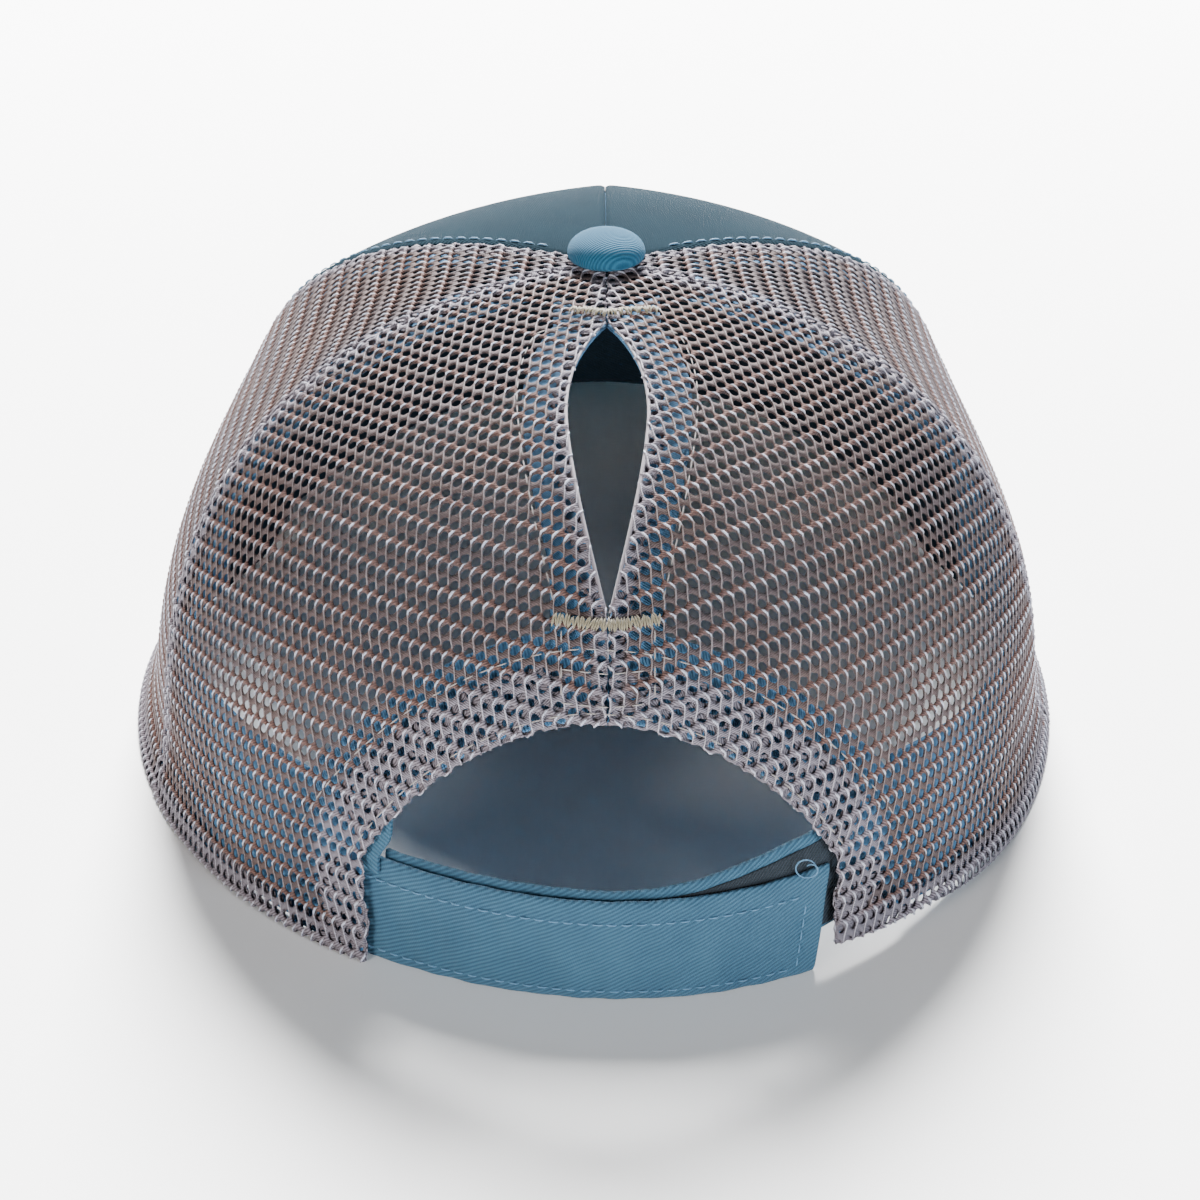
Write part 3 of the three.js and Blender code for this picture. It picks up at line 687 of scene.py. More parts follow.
def knit_ground(pattern, material, nodes):
    """Cells round the holes: front of the cell, hole's edge, hole's wall and back, in rings of 12 points."""
    row, centre = lattice(pattern)
    p, q = HOLE_PITCH, ROW_PITCH
    half = np.array([(2, 0), (2, 2), (1, 3), (0, 4), (-1, 3), (-2, 2)])
    ring = np.concatenate([half, -half]) * [p / 4, q / 6]
    outer = centre[:, None] + ring
    keys = np.round(outer / [p / 4, q / 6]).astype(np.int64).reshape(-1, 2)
    code = keys[:, 0] * 100000 + keys[:, 1]
    _, first, cell = np.unique(code, return_index=True, return_inverse=True)
    rim = outer.reshape(-1, 2)[first]
    cell = cell.reshape(-1, 12)
    long, short, turn = np.array(HOLES)[row % 2].T[..., None]
    way = np.arctan2(ring[:, 1], ring[:, 0])[None]
    bend = way - np.radians(turn)
    radius = (np.abs(np.cos(bend)) / long) ** 2.3 + (np.abs(np.sin(bend)) / short) ** 2.3
    radius = radius ** (-1 / 2.3)
    hole = centre[:, None] + np.stack([radius * np.cos(way), radius * np.sin(way)], -1)
    hole = hole.reshape(-1, 2)
    flat = np.concatenate([rim, hole, hole, rim])
    beat = flat[: len(rim), 1] / ROW_PITCH % 2
    raised = FRONT + BAND_RISE * smooth(beat, 1.1, 1.3) * (1 - smooth(beat, 1.4, 1.62))
    lower = np.repeat([EDGE, BACK, BACK], [len(hole), len(hole), len(rim)])
    height = np.concatenate([raised, lower])
    points, keep, double = pattern.lay(jitter(flat), height)
    wall = np.arange(len(hole)).reshape(-1, 12) + len(rim)
    rings = [cell, wall, wall + len(hole), cell + len(rim) + 2 * len(hole)]
    pairs = zip(rings, rings[1:])
    quads = [np.stack([a, np.roll(a, -1, 1), np.roll(b, -1, 1), b], -1) for a, b in pairs]
    quads = np.concatenate(quads).reshape(-1, 4)
    quads = near_faces(points, quads[keep[quads].all(1)])
    if np.sign(pattern.end[0] - pattern.start[0]) > 0:
        quads = quads[:, ::-1]
    name = pattern.name + "_ground"
    return make_mesh(name, points, quads, flat / [p, q], material, nodes, double)


print("holes per square centimetre", round(100 / (HOLE_PITCH * ROW_PITCH), 1))

# %% [markdown]
# ## Wale yarns
#
# Over the ground run the wale yarns, one between each two columns of holes. They could be curves with a
# bevel, but thousands of cords are quicker to make as one array of points, four round each beat of the yarn.

# %% Wale yarns


def wale_shift(v):
    """Sideways place of a wale yarn in pitches: back by half over the ladder, forward over the float."""
    v = v % 2
    return np.where(v < 1, -0.5 * v, -0.5 + 0.5 * smooth(v - 1, 0.1, 0.7))


def knit_wales(pattern, material):
    """Every wale yarn as a four-sided cord, thicker where it floats, over the ground."""
    low, high = pattern.outline.min(0) - 12, pattern.outline.max(0) + 12
    beats = np.array([0, 0.5, 1.0, 1.22, 1.48, 1.75])
    repeats = np.arange(int(low[1] / ROW_PITCH / 2) - 1, int(high[1] / ROW_PITCH / 2) + 2) * 2
    v = (repeats[:, None] + beats).ravel()
    wale = np.arange(int(low[0] / HOLE_PITCH) - 1, int(high[0] / HOLE_PITCH) + 2)
    s = (wale[:, None] + 0.5 + wale_shift(v)[None]) * HOLE_PITCH
    t = np.broadcast_to(v * ROW_PITCH, s.shape)
    middle = np.stack([s, t], -1)
    tangent = unit(np.gradient(middle, axis=1))
    side = np.stack([-tangent[..., 1], tangent[..., 0]], -1)
    floating = smooth(v % 2, 1.25, 1.5) * (1 - smooth(v % 2, 1.8, 2.0))
    under = smooth(v % 2, 1.0, 1.2) * (1 - smooth(v % 2, 1.25, 1.45))
    half = 0.115 + 0.065 * floating
    rise = 0.1 + 0.12 * floating - 0.2 * under
    round_cord = [(-1, 0.0), (0, 1.0), (1, 0.0), (0, -1.0)]
    flat = np.stack([middle + side * half[None, :, None] * a for a, _ in round_cord], 2)
    height = np.stack([rise + half * 0.85 * b for _, b in round_cord], -1)
    height = np.broadcast_to(height, flat.shape[:-1])
    count = len(v)
    flat, height = flat.reshape(-1, 2), height.ravel()
    signed, _, edge = pattern.distance(flat)
    near = signed > -pattern.widths[edge] + 0.1
    number = np.cumsum(near) - 1
    points, _, double = pattern.lay(jitter(flat[near]), height[near])
    base = grid_quads(count, 4, wrap=True)
    quads = (np.arange(len(wale))[:, None, None] * count * 4 + base[None]).reshape(-1, 4)
    quads = number[quads[near[quads].all(1)]]
    quads = near_faces(points, quads)
    if np.sign(pattern.end[0] - pattern.start[0]) < 0:
        quads = quads[:, ::-1]
    uv = flat[near] / [HOLE_PITCH, ROW_PITCH]
    return make_mesh(pattern.name + "_wales", points, quads, uv, material, double=double)


# %% [markdown]
# ## The knit's materials
#
# The yarns are pinkish tan, with painted bluish white highlights and a browner stripe between two rows of
# holes. A material can find the stripe by itself, because v counts the rows. Where the knit is folded double,
# which the mesh says in an attribute of its own, it looks closer and is painted paler, a painted light that
# lifts the shade between its two layers.

# %% Knit materials


def knit_tone(shader):
    """Slow changes of the yarn's colour over the cap, from pinkish to bluish grey."""
    return shader.noise(0.05, 4.0).ramp(0.3, 0.7) * 0.6 + 0.2


def ground_material():
    """Tan ladders with fine rungs, and a browner band of slanting floats."""
    shader = Shader("knit_ground")
    u, v = shader.flat()
    beat = (v / 2).part() * 2
    band = beat.ramp(1.0, 1.2) * (1 - beat.ramp(1.5, 1.7))
    rungs = (v * 7.0 + u * 1.2).wave()
    floats = (v * 4.5 - u * 3.0).wave()
    lines = rungs * (1 - band) + floats * band
    ladder = shader.mix(knit_tone(shader), shade(94, 78, 73), shade(84, 78, 82))
    brown = shader.mix(knit_tone(shader), shade(110, 82, 74), shade(98, 79, 76))
    color = shader.mix(band, ladder, brown)
    # Painted light: the ground is painted paler where the knit is folded double, lifting the shade between
    # the layers.
    color = shader.mix(shader.doubled() * 0.75, color, shade(134, 131, 142))
    # Painted shade: the gaps between the fine threads are painted nearly black.
    color = shader.mix((1 - lines) * 0.75, color, shade(40, 32, 34))
    return shader.finish(color, 0.8, lines, 0.6, 0.12, 0.02, 0.08)


def wale_material():
    """Light twisted yarn, with slanting plies, a painted bluish white highlight where it floats and painted
    shade between the plies.
    """
    shader = Shader("knit_wales")
    u, v = shader.flat()
    plies = (v * 6.0 + u * 4.0).wave()
    beat = (v / 2).part() * 2
    band = beat.ramp(1.3, 1.5) * (1 - beat.ramp(1.85, 2.0))
    plain = shader.mix(knit_tone(shader), shade(134, 117, 112), shade(126, 123, 129))
    # Painted highlight: the floating stretch of each wale yarn gets a lighter, bluish white copy of its
    # colour.
    lit = shader.mix(knit_tone(shader), shade(184, 184, 194), shade(172, 186, 208))
    color = shader.mix(band, plain, lit)
    # Painted light: the yarn is painted paler where the knit is folded double, lifting the shade between the
    # layers.
    color = shader.mix(shader.doubled() * 0.6, color, shade(180, 179, 193))
    # Painted shade: the grooves between the plies are painted darker.
    color = shader.mix((1 - plies) * 0.4, color, shade(98, 84, 84))
    return shader.finish(color, 0.6, plies, 0.5, 0.08, 0.06, 0.2)


KNIT_GROUND, KNIT_WALES = ground_material(), wale_material()
print("knit materials", KNIT_GROUND.name, KNIT_WALES.name)

# %% [markdown]
# ## The four panels
#
# One loop knits all panels, since only their patterns differ. Each becomes a ground and its wale yarns.

# %% Knitted panels
for pattern in PATTERNS:
    ground = knit_ground(pattern, KNIT_GROUND, [pattern.name])
    wales = knit_wales(pattern, KNIT_WALES)
    print(pattern.name, "faces", len(ground.data.polygons), len(wales.data.polygons))

# %% [markdown]
# ## Twill and tape
#
# Twill is a weave whose crossings step sideways, so it shows slanting ribs about half a millimetre apart. The
# ribs are drawn on each piece's own UV map, which is measured in millimetres, so they have one size on all
# pieces. The raised threads are painted paler and the hollows darker, a painted light and shade of the
# weave's relief. Sewing thread is two plies twisted together, so it gets slanting plies in the same way.

# %% Twill and tape materials


def twill_material(name, ribs, light, dark, slope=0.5, gloss=0.3):
    """Ribs along u * slope + v, broken into threads across them, with faded patches and fine fuzz."""
    shader = Shader(name)
    u, v = shader.flat()
    across = (v - u * slope) * ribs
    rib = across.wave()
    thread = (u * 2.6 + v * 1.1).wave()
    cloudy = shader.noise(0.09, 4.0).ramp(0.1, 0.9)
    fuzz = shader.noise(2.2, 3.0)
    height = rib * 0.75 + thread * 0.25
    # Random faded patches, plus painted light on the raised ribs.
    color = shader.mix(cloudy * 0.6 + rib * 0.4, dark, light)
    # Painted shade: the weave's hollows darken towards a darker copy of the colour.
    painted_hollow_shade = tuple(c * 0.45 for c in dark[:3]) + (1.0,)
    color = shader.mix((1 - height) * 0.55, color, painted_hollow_shade)
    color = shader.mix(fuzz.ramp(0.55, 0.75) * 0.15, color, light)
    sheen = 0.05 if gloss > 0.1 else 0.0
    return shader.finish(color, 0.85, height + fuzz * 0.3, 0.8, 0.2, sheen, gloss)


TWILL = twill_material("twill", 1.7, shade(19, 41, 51), shade(9, 28, 38), gloss=0.03)
BUTTON_TWILL = twill_material("button_twill", 1.6, shade(42, 94, 120), shade(22, 66, 92), 0.6, 0.12)
# Painted shade: the sweatband's front twill is coloured dark to stand for the dark inside of the front.
PAINTED_SHADE_SWEATBAND_TWILL = twill_material("sweatband_twill", 1.7, shade(34, 50, 60), shade(24, 36, 46), gloss=0.1)
STRAP_TWILL = twill_material("strap_twill", 1.25, shade(58, 98, 121), shade(35, 70, 93), slope=0.55)
TAPE = twill_material("tape", 2.2, shade(88, 136, 174), shade(62, 108, 148), slope=0.8)
LOOP_PILE = twill_material("loop_pile", 1.1, shade(30, 42, 52), shade(16, 24, 32), slope=1.3)


def thread_material(name, light, dark):
    shader = Shader(name)
    u, v = shader.flat()
    plies = (u * 3.0 + v * 2.0).wave()
    # Painted light and shade: each ply's crest is lighter and the groove between plies darker.
    color = shader.mix(plies, dark, light)
    return shader.finish(color, 0.6, plies, 0.5, 0.05, 0.2)


BLUE_THREAD = thread_material("blue_thread", shade(88, 138, 172), shade(52, 92, 124))
PALE_THREAD = thread_material("pale_thread", shade(160, 154, 150), shade(118, 112, 110))
print("materials so far", len(bpy.data.materials))

# %% [markdown]
# ## Front panels
#
# Two twill gores meet at the centre front seam. Their edges are turned under, so each panel rolls down a
# little where it meets the next piece.

# %% Front panels


def gore_grid(name, across_count, up_count, depth, roll):
    """Grid on a panel from hem to button, sinking by roll within 1.5 mm of its seams."""
    start, end, _ = GORES[name]
    across = np.linspace(0, 1, across_count)[:, None]
    sweep = np.linspace(0, 1, up_count)[None]
    rough = start[0] + (end[0] - start[0]) * across
    bottom = hem_height(rough)
    top = height_at_radius(2.6)
    low, high = sweep_at_height(bottom), sweep_at_height(top)
    z = height_at_sweep(low + (high - low) * sweep)
    first, last = seam_angle(start, z), seam_angle(end, z)
    middle = crown((first + last) / 2, z, False)
    ring = np.linalg.norm(middle[..., :2] + [SEAM_LEAN, 0], axis=-1)
    margin = np.degrees(0.06 / np.maximum(ring, 1)) * np.sign(last - first)
    angle = first + margin + (last - first - 2 * margin) * across
    width = np.radians(np.abs(last - first)) * ring
    edge = np.minimum(across, 1 - across) * width
    sink = depth + roll * (1 - smooth(edge, 0, 1.6)) ** 2
    points = skin(angle, z, sink)
    flat = np.stack([(across - 0.5) * width, lengths(points)], -1)
    return points, flat


for side in ("left", "right"):
    name = "front_panel_" + side
    points, flat = gore_grid(name, 70, 70, 0.1, 0.45)
    cloth(name + "_twill", points, flat, 1.0, TWILL, [name])
    print(name, np.ptp(points, axis=(0, 1)).round(1), "mm")

# %% [markdown]
# ## Seam tapes
#
# Flat tapes cover the raw seams inside. They show as blue through the mesh. Each one is a strip of the crown
# itself, a little below its surface, so it bends just as the sewn tape does.

# %% Seam tapes
BEHIND = 1.75
TAPE_THICKNESS = 0.7
SEAM_TAPE_HALF = 6.0
SEAM_TAPE_END = 19.0  # radius on the crown's top
SWEATBAND_WIDTH = 29.0


def down(points):
    """Distance along each column of a grid of points."""
    return lengths(points.swapaxes(0, 1)).T


def seam_tape(name, seam):
    """A strip of the crown at tape depth, along a seam, from the sweatband up."""
    start = float(hem_height(seam[0])) + SWEATBAND_WIDTH + 1
    ends = sweep_at_height(start), sweep_at_height(height_at_radius(SEAM_TAPE_END))
    z = height_at_sweep(np.linspace(*ends, 60))[:, None]
    across = np.linspace(-1, 1, 9)[None]
    middle = seam_angle(seam, z)
    degree = np.linalg.norm(crown(middle + 0.5, z) - crown(middle - 0.5, z), axis=-1)
    angle = middle + across * SEAM_TAPE_HALF / degree
    angle = np.where(angle > 180, angle - 360, angle)
    points = skin(angle, z, BEHIND)
    flat = np.stack([across * SEAM_TAPE_HALF + 0 * z, down(points)], -1)
    return cloth(name + "_band", points, flat, TAPE_THICKNESS, TAPE, [name])


for side, sign in (("left", 1), ("right", -1)):
    seam_tape("side_back_tape_" + side, GORES["back_mesh_" + side][1])
    seam_tape("side_front_tape_" + side, GORES["side_mesh_" + side][1])
seam_tape("centre_front_tape", (180, 180))
print("seam tapes", 2 * SEAM_TAPE_HALF, "mm wide")

# %% [markdown]
# ## Tapes round the openings
#
# A ring of tape lies behind the half-moon's folded hem. It is the half-moon's own curve, grown step by step,
# and its ends run straight down to the hem. The centre back tape parts round the slit, so it is two halves.

# %% Tapes round the openings
share = np.linspace(-0.1, 1.1, 145)[:, None]
grow = np.linspace(0.35, 13.5, 10)[None]
arch_x, arch_z = arch_point(np.clip(share, 0, 1), grow)
low_z = hem_height(angle_at_x(arch_x, 0 * arch_x)) + 0.6
below = np.maximum(np.maximum(-share, share - 1), 0) / 0.1
arch_z = arch_z + (low_z - arch_z) * below
points = skin(angle_at_x(arch_x, arch_z, BEHIND + 0.3), arch_z, BEHIND + 0.3)
flat = np.stack([down(points), grow + 0 * share], -1)
cloth("arch_tape_band", points, flat, TAPE_THICKNESS, TAPE, ["arch_tape"])
print("half-moon tape", points.shape[:2], "points")

for side, label in ((1, "left"), (-1, "right")):
    z = np.linspace(59.5, height_at_radius(15), 90)[:, None]
    inner = slit_half(z) + np.where((z > SLIT_FROM) & (z < SLIT_TOP), 0.35, 0.0)
    outer = np.maximum(9.6, inner + 7.5)
    x = crown(0.0, z)[..., 0] + side * (inner + (outer - inner) * np.linspace(0, 1, 7)[None])
    angle = angle_at_x(x, z + 0 * x, BEHIND)
    points = skin(angle, z + 0 * x, BEHIND)
    flat = np.stack([x, down(points)], -1)
    name = "centre_back_band_" + label
    cloth(name, points, flat, TAPE_THICKNESS, TAPE, ["centre_back_tape"])

# %% [markdown]
# ## Sweatband
#
# The sweatband goes round the front from one end of the half-moon's tape to the other: blue tape behind the
# mesh, where it shows, and twill painted dark behind the front panels, a painted shade for the dark inside of
# the front. Near the peak's ends the hem rises, and the band hangs below it to the floor, so that no light
# comes in there.

# %% Sweatband
FRONT_BAND_ANGLE = 112
end_x = ARCH_HALF + 12
along = np.linspace(0, 1, 260)[:, None]
rise = np.linspace(0, 1, 12)[None]
ends = [angle_at_x(np.array([ARCH_X + sign * end_x]), np.array([6.0]), 2.6)[0] for sign in (1, -1)]
angle = ends[0] + (360 + ends[1] - ends[0]) * along
angle = np.where(angle > 180, angle - 360, angle)
dip = smooth(np.abs(angle), 119, 128)
cornered = hem_height(angle) * (1 - smooth(np.abs(angle), 90, 96))
bottom = cornered * (1 - dip) + hem_height(angle, 0.0) * dip + 0.8 - 0.4 * lift(angle) * (1 - dip)
points = skin(angle, bottom + SWEATBAND_WIDTH * rise, 2.6 + 0 * angle)
flat = np.stack([down(points), SWEATBAND_WIDTH * rise + 0 * along], -1)
first, last = np.flatnonzero(np.abs(angle[:, 0]) > FRONT_BAND_ANGLE)[[0, -1]]
for name, material, stretch in (
    ("sweatband_left_band", TAPE, slice(0, first + 1)),
    ("sweatband_front", PAINTED_SHADE_SWEATBAND_TWILL, slice(first, last + 1)),
    ("sweatband_right_band", TAPE, slice(last, None)),
):
    cloth(name, points[stretch], flat[stretch], 1.0, material, ["sweatband"])
print("sweatband", round(float(flat[-1, 0, 0])), "mm long")

# %% [markdown]
# ## Strap
#
# The strap is a doubled strip of twill sewn in at the wearer's left. Its free end presses onto an inner tab
# that comes from the right. Both follow the head's curve, and their long edges are folded and topstitched.

# %% Strap tabs
STRAP_LENGTH = 82
STRAP_WIDTH = 19.5


def tab_surface(left, right, depth, bottom, slant):
    """Function of (share along, share up, extra depth) that gives the tab's point on the back wall."""

    def surface(along, up, extra=0.0):
        z = bottom(along) + STRAP_WIDTH * up
        x = left + (right - slant * (up - 1) - left) * along
        return skin(angle_at_x(x, z), z, depth(along) + extra)

    return surface


def strap_depth(along):
    return 2.8 - 1.5 * smooth(along, 0.1, 0.9)


def bulge(up):
    """Outward push of a doubled strap: its folded edges are rounder than its middle."""
    return 0.35 * (1 - smooth(np.minimum(up, 1 - up), 0, 0.06)) - 0.12 * np.sin(np.pi * up)


LEFT_RIM, RIGHT_RIM = ARCH_X + ARCH_HALF, ARCH_X - ARCH_HALF
strap_face = tab_surface(LEFT_RIM + 6, RIGHT_RIM + 0.8, strap_depth, lambda a: 0 * a, 2.5)
loop_depth, loop_bottom = lambda a: strap_depth(a) + 1.6, lambda a: 1 + 6 * smooth(a, 0.5, 1)
loop_face = tab_surface(LEFT_RIM - 1.5, RIGHT_RIM - 8, loop_depth, loop_bottom, 0)


def tab_piece(name, surface, along, up, extra, thickness, material, nodes):
    """The part of a tab's surface between two shares along and two up."""
    along, up = np.meshgrid(along, up, indexing="ij")
    points = surface(along, up, bulge(up) + extra(along, up))
    flat = np.stack([along * STRAP_LENGTH, up * STRAP_WIDTH], -1)
    cloth(name, points, flat, thickness, material, nodes, backwards)


def backwards(middle):
    """The back opening's direction, for every face."""
    return np.broadcast_to([0, 1, 0.1], middle.shape)


def ripple(along, up):
    return 0.1 * np.sin(along * 46 + up * 3) * np.sin(along * 17) + 0.08 * np.sin(along * 83 + up * 9)


WHOLE = np.linspace(0, 1, 150), np.linspace(0, 1, 40)
PILE = np.linspace(0.03, 0.97, 150), np.linspace(0.06, 0.9, 24)
tab_piece("strap_tab_twill", strap_face, *WHOLE, ripple, 1.1, STRAP_TWILL, ["strap_tab"])
tab_piece("loop_tab_twill", loop_face, *WHOLE, ripple, 1.1, STRAP_TWILL, ["loop_tab"])
tab_piece("loop_tab_pile", loop_face, *PILE, lambda a, u: -0.3, 0.4, LOOP_PILE, [])
print("strap", STRAP_LENGTH, "x", STRAP_WIDTH, "mm")

# %% [markdown]
# ## Peak
#
# The peak is a stiff curved board covered in twill. It is on the far side of the cap, so it is finished
# plainly: one rounded section is carried from end to end between the sewn edge and the outer edge.

# %% Peak
PEAK_REACH = 70.0
PEAK_END = 118.0


def peak_plan(share, out):
    """Plan point between the sewn edge (out = 0) and the outer edge (out = 1)."""
    angle = (180 + (PEAK_END - 180) * np.abs(share)) * np.where(share < 0, -1, 1)
    sewn = skin(angle, hem_height(angle, 0.0), 1.2)[..., :2]
    side_y = skin(PEAK_END, 0.0, 0.0)[1]
    length = FRONT_REACH + PEAK_REACH + side_y
    turn = np.abs(share) * np.pi / 2
    power = 2 / 2.3
    x = PEAK_HALF_WIDTH * np.sin(turn) ** power * np.sign(share)
    edge = np.stack([x, side_y - length * np.maximum(np.cos(turn), 0) ** power], -1)
    return sewn + (edge - sewn) * np.asarray(out)[..., None]


# Share out and height of the upper half of the section; the lower half mirrors it
upper = [[0, 0.2], [0, 2.8], [0.15, 3], [0.5, 3], [0.93, 3], [0.985, 2.8], [0.997, 2.2], [1, 1.5]]
upper = np.array(upper)
lower = upper[::-1] * [1, -1] + [0, PEAK_THICKNESS]
section = np.concatenate([upper, lower[1:-1]])
share = np.sin(np.linspace(-np.pi / 2, np.pi / 2, 121))
rows = []
for out, height in section:
    plan = peak_plan(share, np.full(share.shape, out))
    rows.append(np.column_stack([plan, peak_underside(plan[:, 0]) + height]))


def from_board(middle):
    """Up above the middle of the peak's board and down below it."""
    above = middle[:, 2] - peak_underside(middle[:, 0]) - PEAK_THICKNESS / 2
    return np.outer(above, [0, 0, 1])


points = np.stack(rows, 1).reshape(-1, 3)
quads = facing(points, grid_quads(len(share), len(section), wrap=True), from_board)
make_mesh("peak_twill", points, quads, points[:, :2], TWILL, ["peak"])
print("peak", np.ptp(points, axis=0).round(1), "mm")

# %% [markdown]
# ## Button
#
# The button is a small metal dome covered in twill, with a hem drawn in underneath. It is a profile turned
# about the crown's axis, which one subdivision rounds.

# %% Button
apex = np.array([-SEAM_LEAN, -TOP_FORWARD, HEIGHT])
radius = np.array([0.02, 5.5, 6.9, 7.3, 7.25, 6.8, 5.9, 4.6, 3, 1.4, 0.02])[:, None]
rise = np.array([0.3, 0.2, 0.5, 1.2, 2.1, 3.2, 4.1, 4.8, 5.3, 5.5, 5.55])[:, None]
turn = np.linspace(0, 2 * np.pi, 49)[:-1]
points = np.stack([radius * np.cos(turn), radius * np.sin(turn), rise + 0 * turn], -1)
points = (apex + points).reshape(-1, 3)
quads = grid_quads(len(rise), len(turn), wrap=True)
flat = points[:, :2] * [1.0, 1.3]
button = make_mesh("top_button_twill", points, quads, flat, BUTTON_TWILL, ["top_button"])
smoother = button.modifiers.new("smooth", "SUBSURF")
smoother.levels = smoother.render_levels = 1
print("button", 2 * radius.max(), "mm across")

# %% [markdown]
# ## Stitches
#
# Each stitch is a short bulged cord that dips into the cloth at both ends. One function lays a row of them
# along any line, because a machine makes them all alike.

# %% Stitch rows


def stitch_set(name, first, last, out, material, radius, rise):
    """Cords from first to last points: radius (1 - ring^4)^0.5, raised in the middle, sunk at both ends."""
    ring = np.linspace(-1, 1, 5)
    share = (ring + 1)[None, :, None] / 2
    centre = first[:, None] * (1 - share) + last[:, None] * share
    ahead = unit(last - first)[:, None]
    side = unit(np.cross(ahead, out[:, None]))
    up = np.cross(side, ahead)
    size = radius * np.sqrt(np.maximum(1 - 0.97 * ring**4, 0))
    centre = centre + up * (rise * (1 - 2.2 * ring**4))[None, :, None]
    turn = np.linspace(0, 2 * np.pi, 7)[:-1]
    around = side[:, :, None] * np.cos(turn)[:, None] + up[:, :, None] * np.sin(turn)[:, None]
    points = centre[:, :, None] + around * size[None, :, None, None]
    number = np.arange(len(first))[:, None, None]
    quads = (number * len(ring) * len(turn) + grid_quads(len(ring), len(turn), wrap=True)).reshape(-1, 4)
    flat = np.stack(np.broadcast_arrays(number * 3.0 + share * 2, turn[None, None]), -1).reshape(-1, 2)
    return make_mesh(name, points.reshape(-1, 3), quads[:, ::-1], flat, material)


def along_line(place, along, values):
    """Three numbers at places along a line, interpolated."""
    return np.stack([np.interp(place, along, values[:, k]) for k in range(3)], -1)


def stitch_row(name, line, normal, material, length=2.4, gap=0.5, radius=0.17, rise=0.1):
    """One cord after another along a line of points with their outward directions."""
    along = lengths(line)
    starts = np.arange(0, along[-1] - length, length + gap)
    first, last = along_line(starts, along, line), along_line(starts + length, along, line)
    out = unit(along_line(starts + length / 2, along, normal))
    return stitch_set(name, first, last, out, material, radius, rise)


def on_crown(angle, z, depth):
    """Line of points and outward directions on the crown."""
    angle, z = np.broadcast_arrays(np.asarray(angle, float), np.asarray(z, float))
    return skin(angle, z, depth + 0 * angle), outward(angle, z)


# %% [markdown]
# ## Seams, hem and peak
#
# The front panels have a blue topstitch beside each seam with the mesh, and the peak has rows parallel to
# its outer edge. The half-moon's hem is sewn down near both of its edges with thin pale thread.

# %% Seam, hem and peak stitches
SEAM_STITCH_AWAY = 1.6
PEAK_ROWS = (0.95, 0.86, 0.77, 0.68, 0.59)


def sew_back(name, x, z, gap, radius):
    """Thin pale stitches that sink into the knit, along a line of the back wall."""
    line, normal = on_crown(angle_at_x(x, z), z, -0.1)
    stitch_row(name, line, normal, PALE_THREAD, 2.0, gap, radius, 0.0)


for side, sign in (("left", 1), ("right", -1)):
    seam = GORES["side_mesh_" + side][1]
    z = height_at_sweep(np.linspace(0.35, 1.50, 120))
    angle = seam_angle(seam, z)
    ring = np.linalg.norm(crown(angle, z)[:, :2] + [SEAM_LEAN, 0], axis=1)
    line, normal = on_crown(angle + sign * np.degrees(SEAM_STITCH_AWAY / ring), z, 0.0)
    stitch_row("front_seam_stitches_" + side, line, normal, BLUE_THREAD)

for number, grow in enumerate((1.8, 10.6)):
    x, z = arch_point(np.linspace(0.02, 0.98, 160), grow)
    sew_back(f"half_moon_stitches_{number}", x, z, 1.1, 0.11)
for number, out in enumerate(PEAK_ROWS):
    plan = peak_plan(np.linspace(-0.93, 0.93, 300), np.full(300, out))
    line = np.column_stack([plan, peak_underside(plan[:, 0]) + PEAK_THICKNESS])
    lean = plan[:, 0] / (PEAK_HALF_WIDTH**2 + PEAK_RISE**2) * 2 * PEAK_RISE
    normal = unit(np.column_stack([lean, 0 * lean, 1 + 0 * lean]))
    stitch_row(f"peak_stitches_{number}", line, normal, BLUE_THREAD, radius=0.15, rise=0.05)
print("innermost row on the peak", round(float(lengths(line)[-1])), "mm long")

# %% [markdown]
# ## Bar tacks and slit stitches
#
# A bar tack closes each end of the slit: a thick bar of zigzag stitches, so close that they look like one
# cord. Chance sets each stitch's lean and length, and a seed makes it the same chance every time. Below the
# slit, a box of stitches holds the seam allowances down.

# %% Bar tacks and slit stitches
TACK_PITCH = 0.42
UPPER_TACK_BEHIND = 19.6
LOWER_TACK_HEIGHT = 63.8
BOX_SIDES = (5.2, -10.0)
TACK_THREAD = thread_material("tack_thread", shade(138, 130, 106), shade(92, 85, 68))


def bar_tack(name, line, normal, seed):
    """Some forty short stitches close together across a line, each a little askew."""
    chance = np.random.default_rng(seed)
    along = lengths(line)
    count = int(along[-1] / TACK_PITCH)
    place = (np.arange(count) + 0.5) * TACK_PITCH
    middle, out = along_line(place, along, line), along_line(place, along, normal)
    ahead = unit(np.gradient(middle, axis=0))
    across = np.cross(out, ahead)
    reach = across * (1.0 + 0.25 * chance.random((count, 1)))
    lean = ahead * chance.normal(0.1, 0.3, (count, 1))
    wander = across * chance.normal(0, 0.12, (count, 1))
    first, last = middle + wander - reach - lean, middle + wander + reach + lean
    print(name, count, "stitches")
    return stitch_set(name, first, last, out, TACK_THREAD, 0.2, 0.25)


